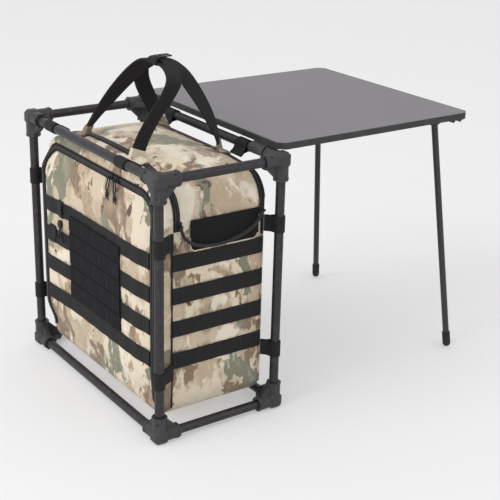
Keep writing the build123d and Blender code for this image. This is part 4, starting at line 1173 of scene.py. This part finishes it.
def cord_curve(name, route, diameter):
    """A round cord on a smooth spline with the route's points as its controls, in metres."""
    curve = bpy.data.curves.new(name, "CURVE")
    curve.dimensions, curve.bevel_depth, curve.bevel_resolution = "3D", diameter / 2, 3
    curve.use_fill_caps, curve.resolution_u = True, 8
    spline = curve.splines.new("NURBS")
    spline.points.add(len(route) - 1)
    spline.points.foreach_set("co", np.concatenate([np.array(route), np.ones((len(route), 1))], 1).ravel())
    spline.order_u = 3
    spline.use_endpoint_u = True
    piece = bpy.data.objects.new(name, curve)
    bpy.context.scene.collection.objects.link(piece)
    curve.materials.append(braid.material)
    return piece


LOOP_PLANE, LOOP_TOP, LOOP_LOW, LOOP_BOW, KNOT_SIZE = -0.2868, 0.3656, 0.3395, 0.0032, 0.0011
for side, place, lean, length in (("left", -0.047, 0.0070, 0.0582), ("right", -0.064, 0.0015, 0.0556)):
    end_y = place + lean
    route = [(LOOP_PLANE, y, z) for y, z in (
        (end_y + 0.0012, LOOP_LOW), (end_y + LOOP_BOW, LOOP_LOW + 0.006),
        (place + lean / 2 + LOOP_BOW, LOOP_LOW + 0.013), (place + LOOP_BOW - 0.0004, LOOP_TOP - 0.005),
        (place + 0.0017, LOOP_TOP), (place - 0.0017, LOOP_TOP),
        (place - LOOP_BOW + 0.0004, LOOP_TOP - 0.005), (place + lean / 2 - LOOP_BOW, LOOP_LOW + 0.013),
        (end_y - LOOP_BOW, LOOP_LOW + 0.006), (end_y - 0.0012, LOOP_LOW))]
    body = f"door_slider_{side}"
    loop = settle(cord_curve(f"pull_loop_{side}", route, 0.002), "cord", body, f"door_pull_{side}")
    knot_centre = np.array((LOOP_PLANE, end_y, LOOP_LOW - 0.0036))
    around = np.linspace(0, 2 * pi, 49)[:-1]
    trefoil = KNOT_SIZE * points_at(np.sin(3 * around), (np.sin(around) + 2 * np.sin(2 * around)) * 0.9,
                                    np.cos(around) - 2 * np.cos(2 * around)) + knot_centre
    out = unit(trefoil - knot_centre)
    ahead = unit(np.roll(trefoil, -1, 0) - np.roll(trefoil, 1, 0))
    across = unit(np.cross(out, ahead))
    knot = carry(round_section(0.0011), trefoil, across, np.cross(ahead, across))
    knot = tubes(f"pull_knot_{side}", [knot], braid.material, closed_path=True)
    tails = []
    for tail, splay in ((-1, -0.003), (1, 0.002)):
        knots = ((0, tail * 0.0012, -0.001), (0, tail * 0.0024, -0.004),
                 (0.0004 * tail, tail * 0.0034 + splay * 0.5, -0.0082))
        path = smooth_through([knot_centre + place for place in knots], 14)
        across = np.broadcast_to((1.0, 0, 0), path.shape)
        ahead = unit(np.gradient(path, axis=0))
        tails.append(carry(round_section(0.0010), path, across, np.cross(ahead, across)))
    ends = tubes(f"pull_tails_{side}", tails, braid.material)
    settle(knot, "cord", body, f"door_knot_{side}")
    settle(ends, "cord", body)

X0, X1, HANG_Y, HANG_Z = -0.2516, -0.1116, -0.1894, 0.3245
lid_route = [(X0, HANG_Y, HANG_Z), (X0 + 0.0015, HANG_Y - 0.0006, HANG_Z - 0.011),
             (X0 + 0.009, HANG_Y - 0.0012, HANG_Z - 0.022), (X0 + 0.024, HANG_Y - 0.0016, HANG_Z - 0.031),
             (X0 + 0.046, HANG_Y - 0.0018, HANG_Z - 0.036), (X0 + 0.071, HANG_Y - 0.0016, HANG_Z - 0.0365),
             (X0 + 0.095, HANG_Y - 0.0014, HANG_Z - 0.032), (X1 - 0.023, HANG_Y - 0.0012, HANG_Z - 0.024),
             (X1 - 0.007, HANG_Y - 0.0008, HANG_Z - 0.013), (X1, HANG_Y, HANG_Z)]
lid_pull = settle(cord_curve("lid_pull_cord", lid_route, 0.005), "cord", "lid_pull", "lid_cord")

# ---- Studio ---------------------------------------------------------------------------------
# A pale floor that runs past the view, a large soft light over the front left, a weaker one at
# the right, and an even pale surround.
floor_cloth = Finish("studio_floor", roughness=0.9, emission_strength=0.40, emission_color=srgb(238, 238, 238))
paper = floor_cloth.place.noise(6, 2)
floor_cloth.set(base_color=paper.mix(srgb(181, 181, 181), srgb(184, 184, 184)))
corners = 30.0 * np.array([(-1, -1, 0), (1, -1, 0), (1, 1, 0), (-1, 1, 0)])
floor_mesh = mesh_of("studio_floor", corners, np.array([[0, 1, 2, 3]]))
floor = mesh_object("studio_floor", floor_mesh, floor_cloth.material)

world = bpy.data.worlds.new("surround")
world.use_nodes = True
world.node_tree.nodes["Background"].inputs["Color"].default_value = (*srgb(240, 240, 241), 1)
world.node_tree.nodes["Background"].inputs["Strength"].default_value = 1.03
bpy.context.scene.world = world


def soft_light(name, place, aim, size, power):
    """A square area light at place, turned to face aim."""
    lamp = bpy.data.lights.new(name, "AREA")
    lamp.shape, lamp.size, lamp.energy = "SQUARE", size, power
    piece = bpy.data.objects.new(name, lamp)
    piece.location = place
    piece.rotation_mode = "QUATERNION"
    piece.rotation_quaternion = (Vector(aim) - Vector(place)).to_track_quat("-Z", "Y")
    bpy.context.scene.collection.objects.link(piece)


soft_light("key_light", (-3.2, 0.0, 2.4), (0, 0, 0.2), 2.6, 75)
soft_light("fill_light", (0.8, -2.6, 2.0), (0, 0, 0.3), 2.2, 8)
bpy.context.scene.view_settings.view_transform = "Standard"

# The camera stands front right of the bag, at sitting height, tipped a little about its own line
AZIMUTH, ELEVATION, ROLL = radians(-35.49), radians(21.17), radians(1.55)
STAND, LENS = (-1.0292, -1.4457, 0.8647), 81.75
back = np.array((sin(AZIMUTH) * cos(ELEVATION), -cos(AZIMUTH) * cos(ELEVATION), sin(ELEVATION)))
right = np.cross((0, 0, 1), back)
right /= np.linalg.norm(right)
up = np.cross(back, right)
tipped_right = cos(ROLL) * right + sin(ROLL) * up
tipped_up = -sin(ROLL) * right + cos(ROLL) * up
camera = bpy.data.cameras.new("camera")
camera.sensor_width, camera.lens = 36, LENS
viewer = bpy.data.objects.new("camera", camera)
turned = Matrix(np.stack([tipped_right, tipped_up, back], 1).tolist()).to_4x4()
viewer.matrix_world = Matrix.Translation(STAND) @ turned
bpy.context.scene.collection.objects.link(viewer)
bpy.context.scene.camera = viewer
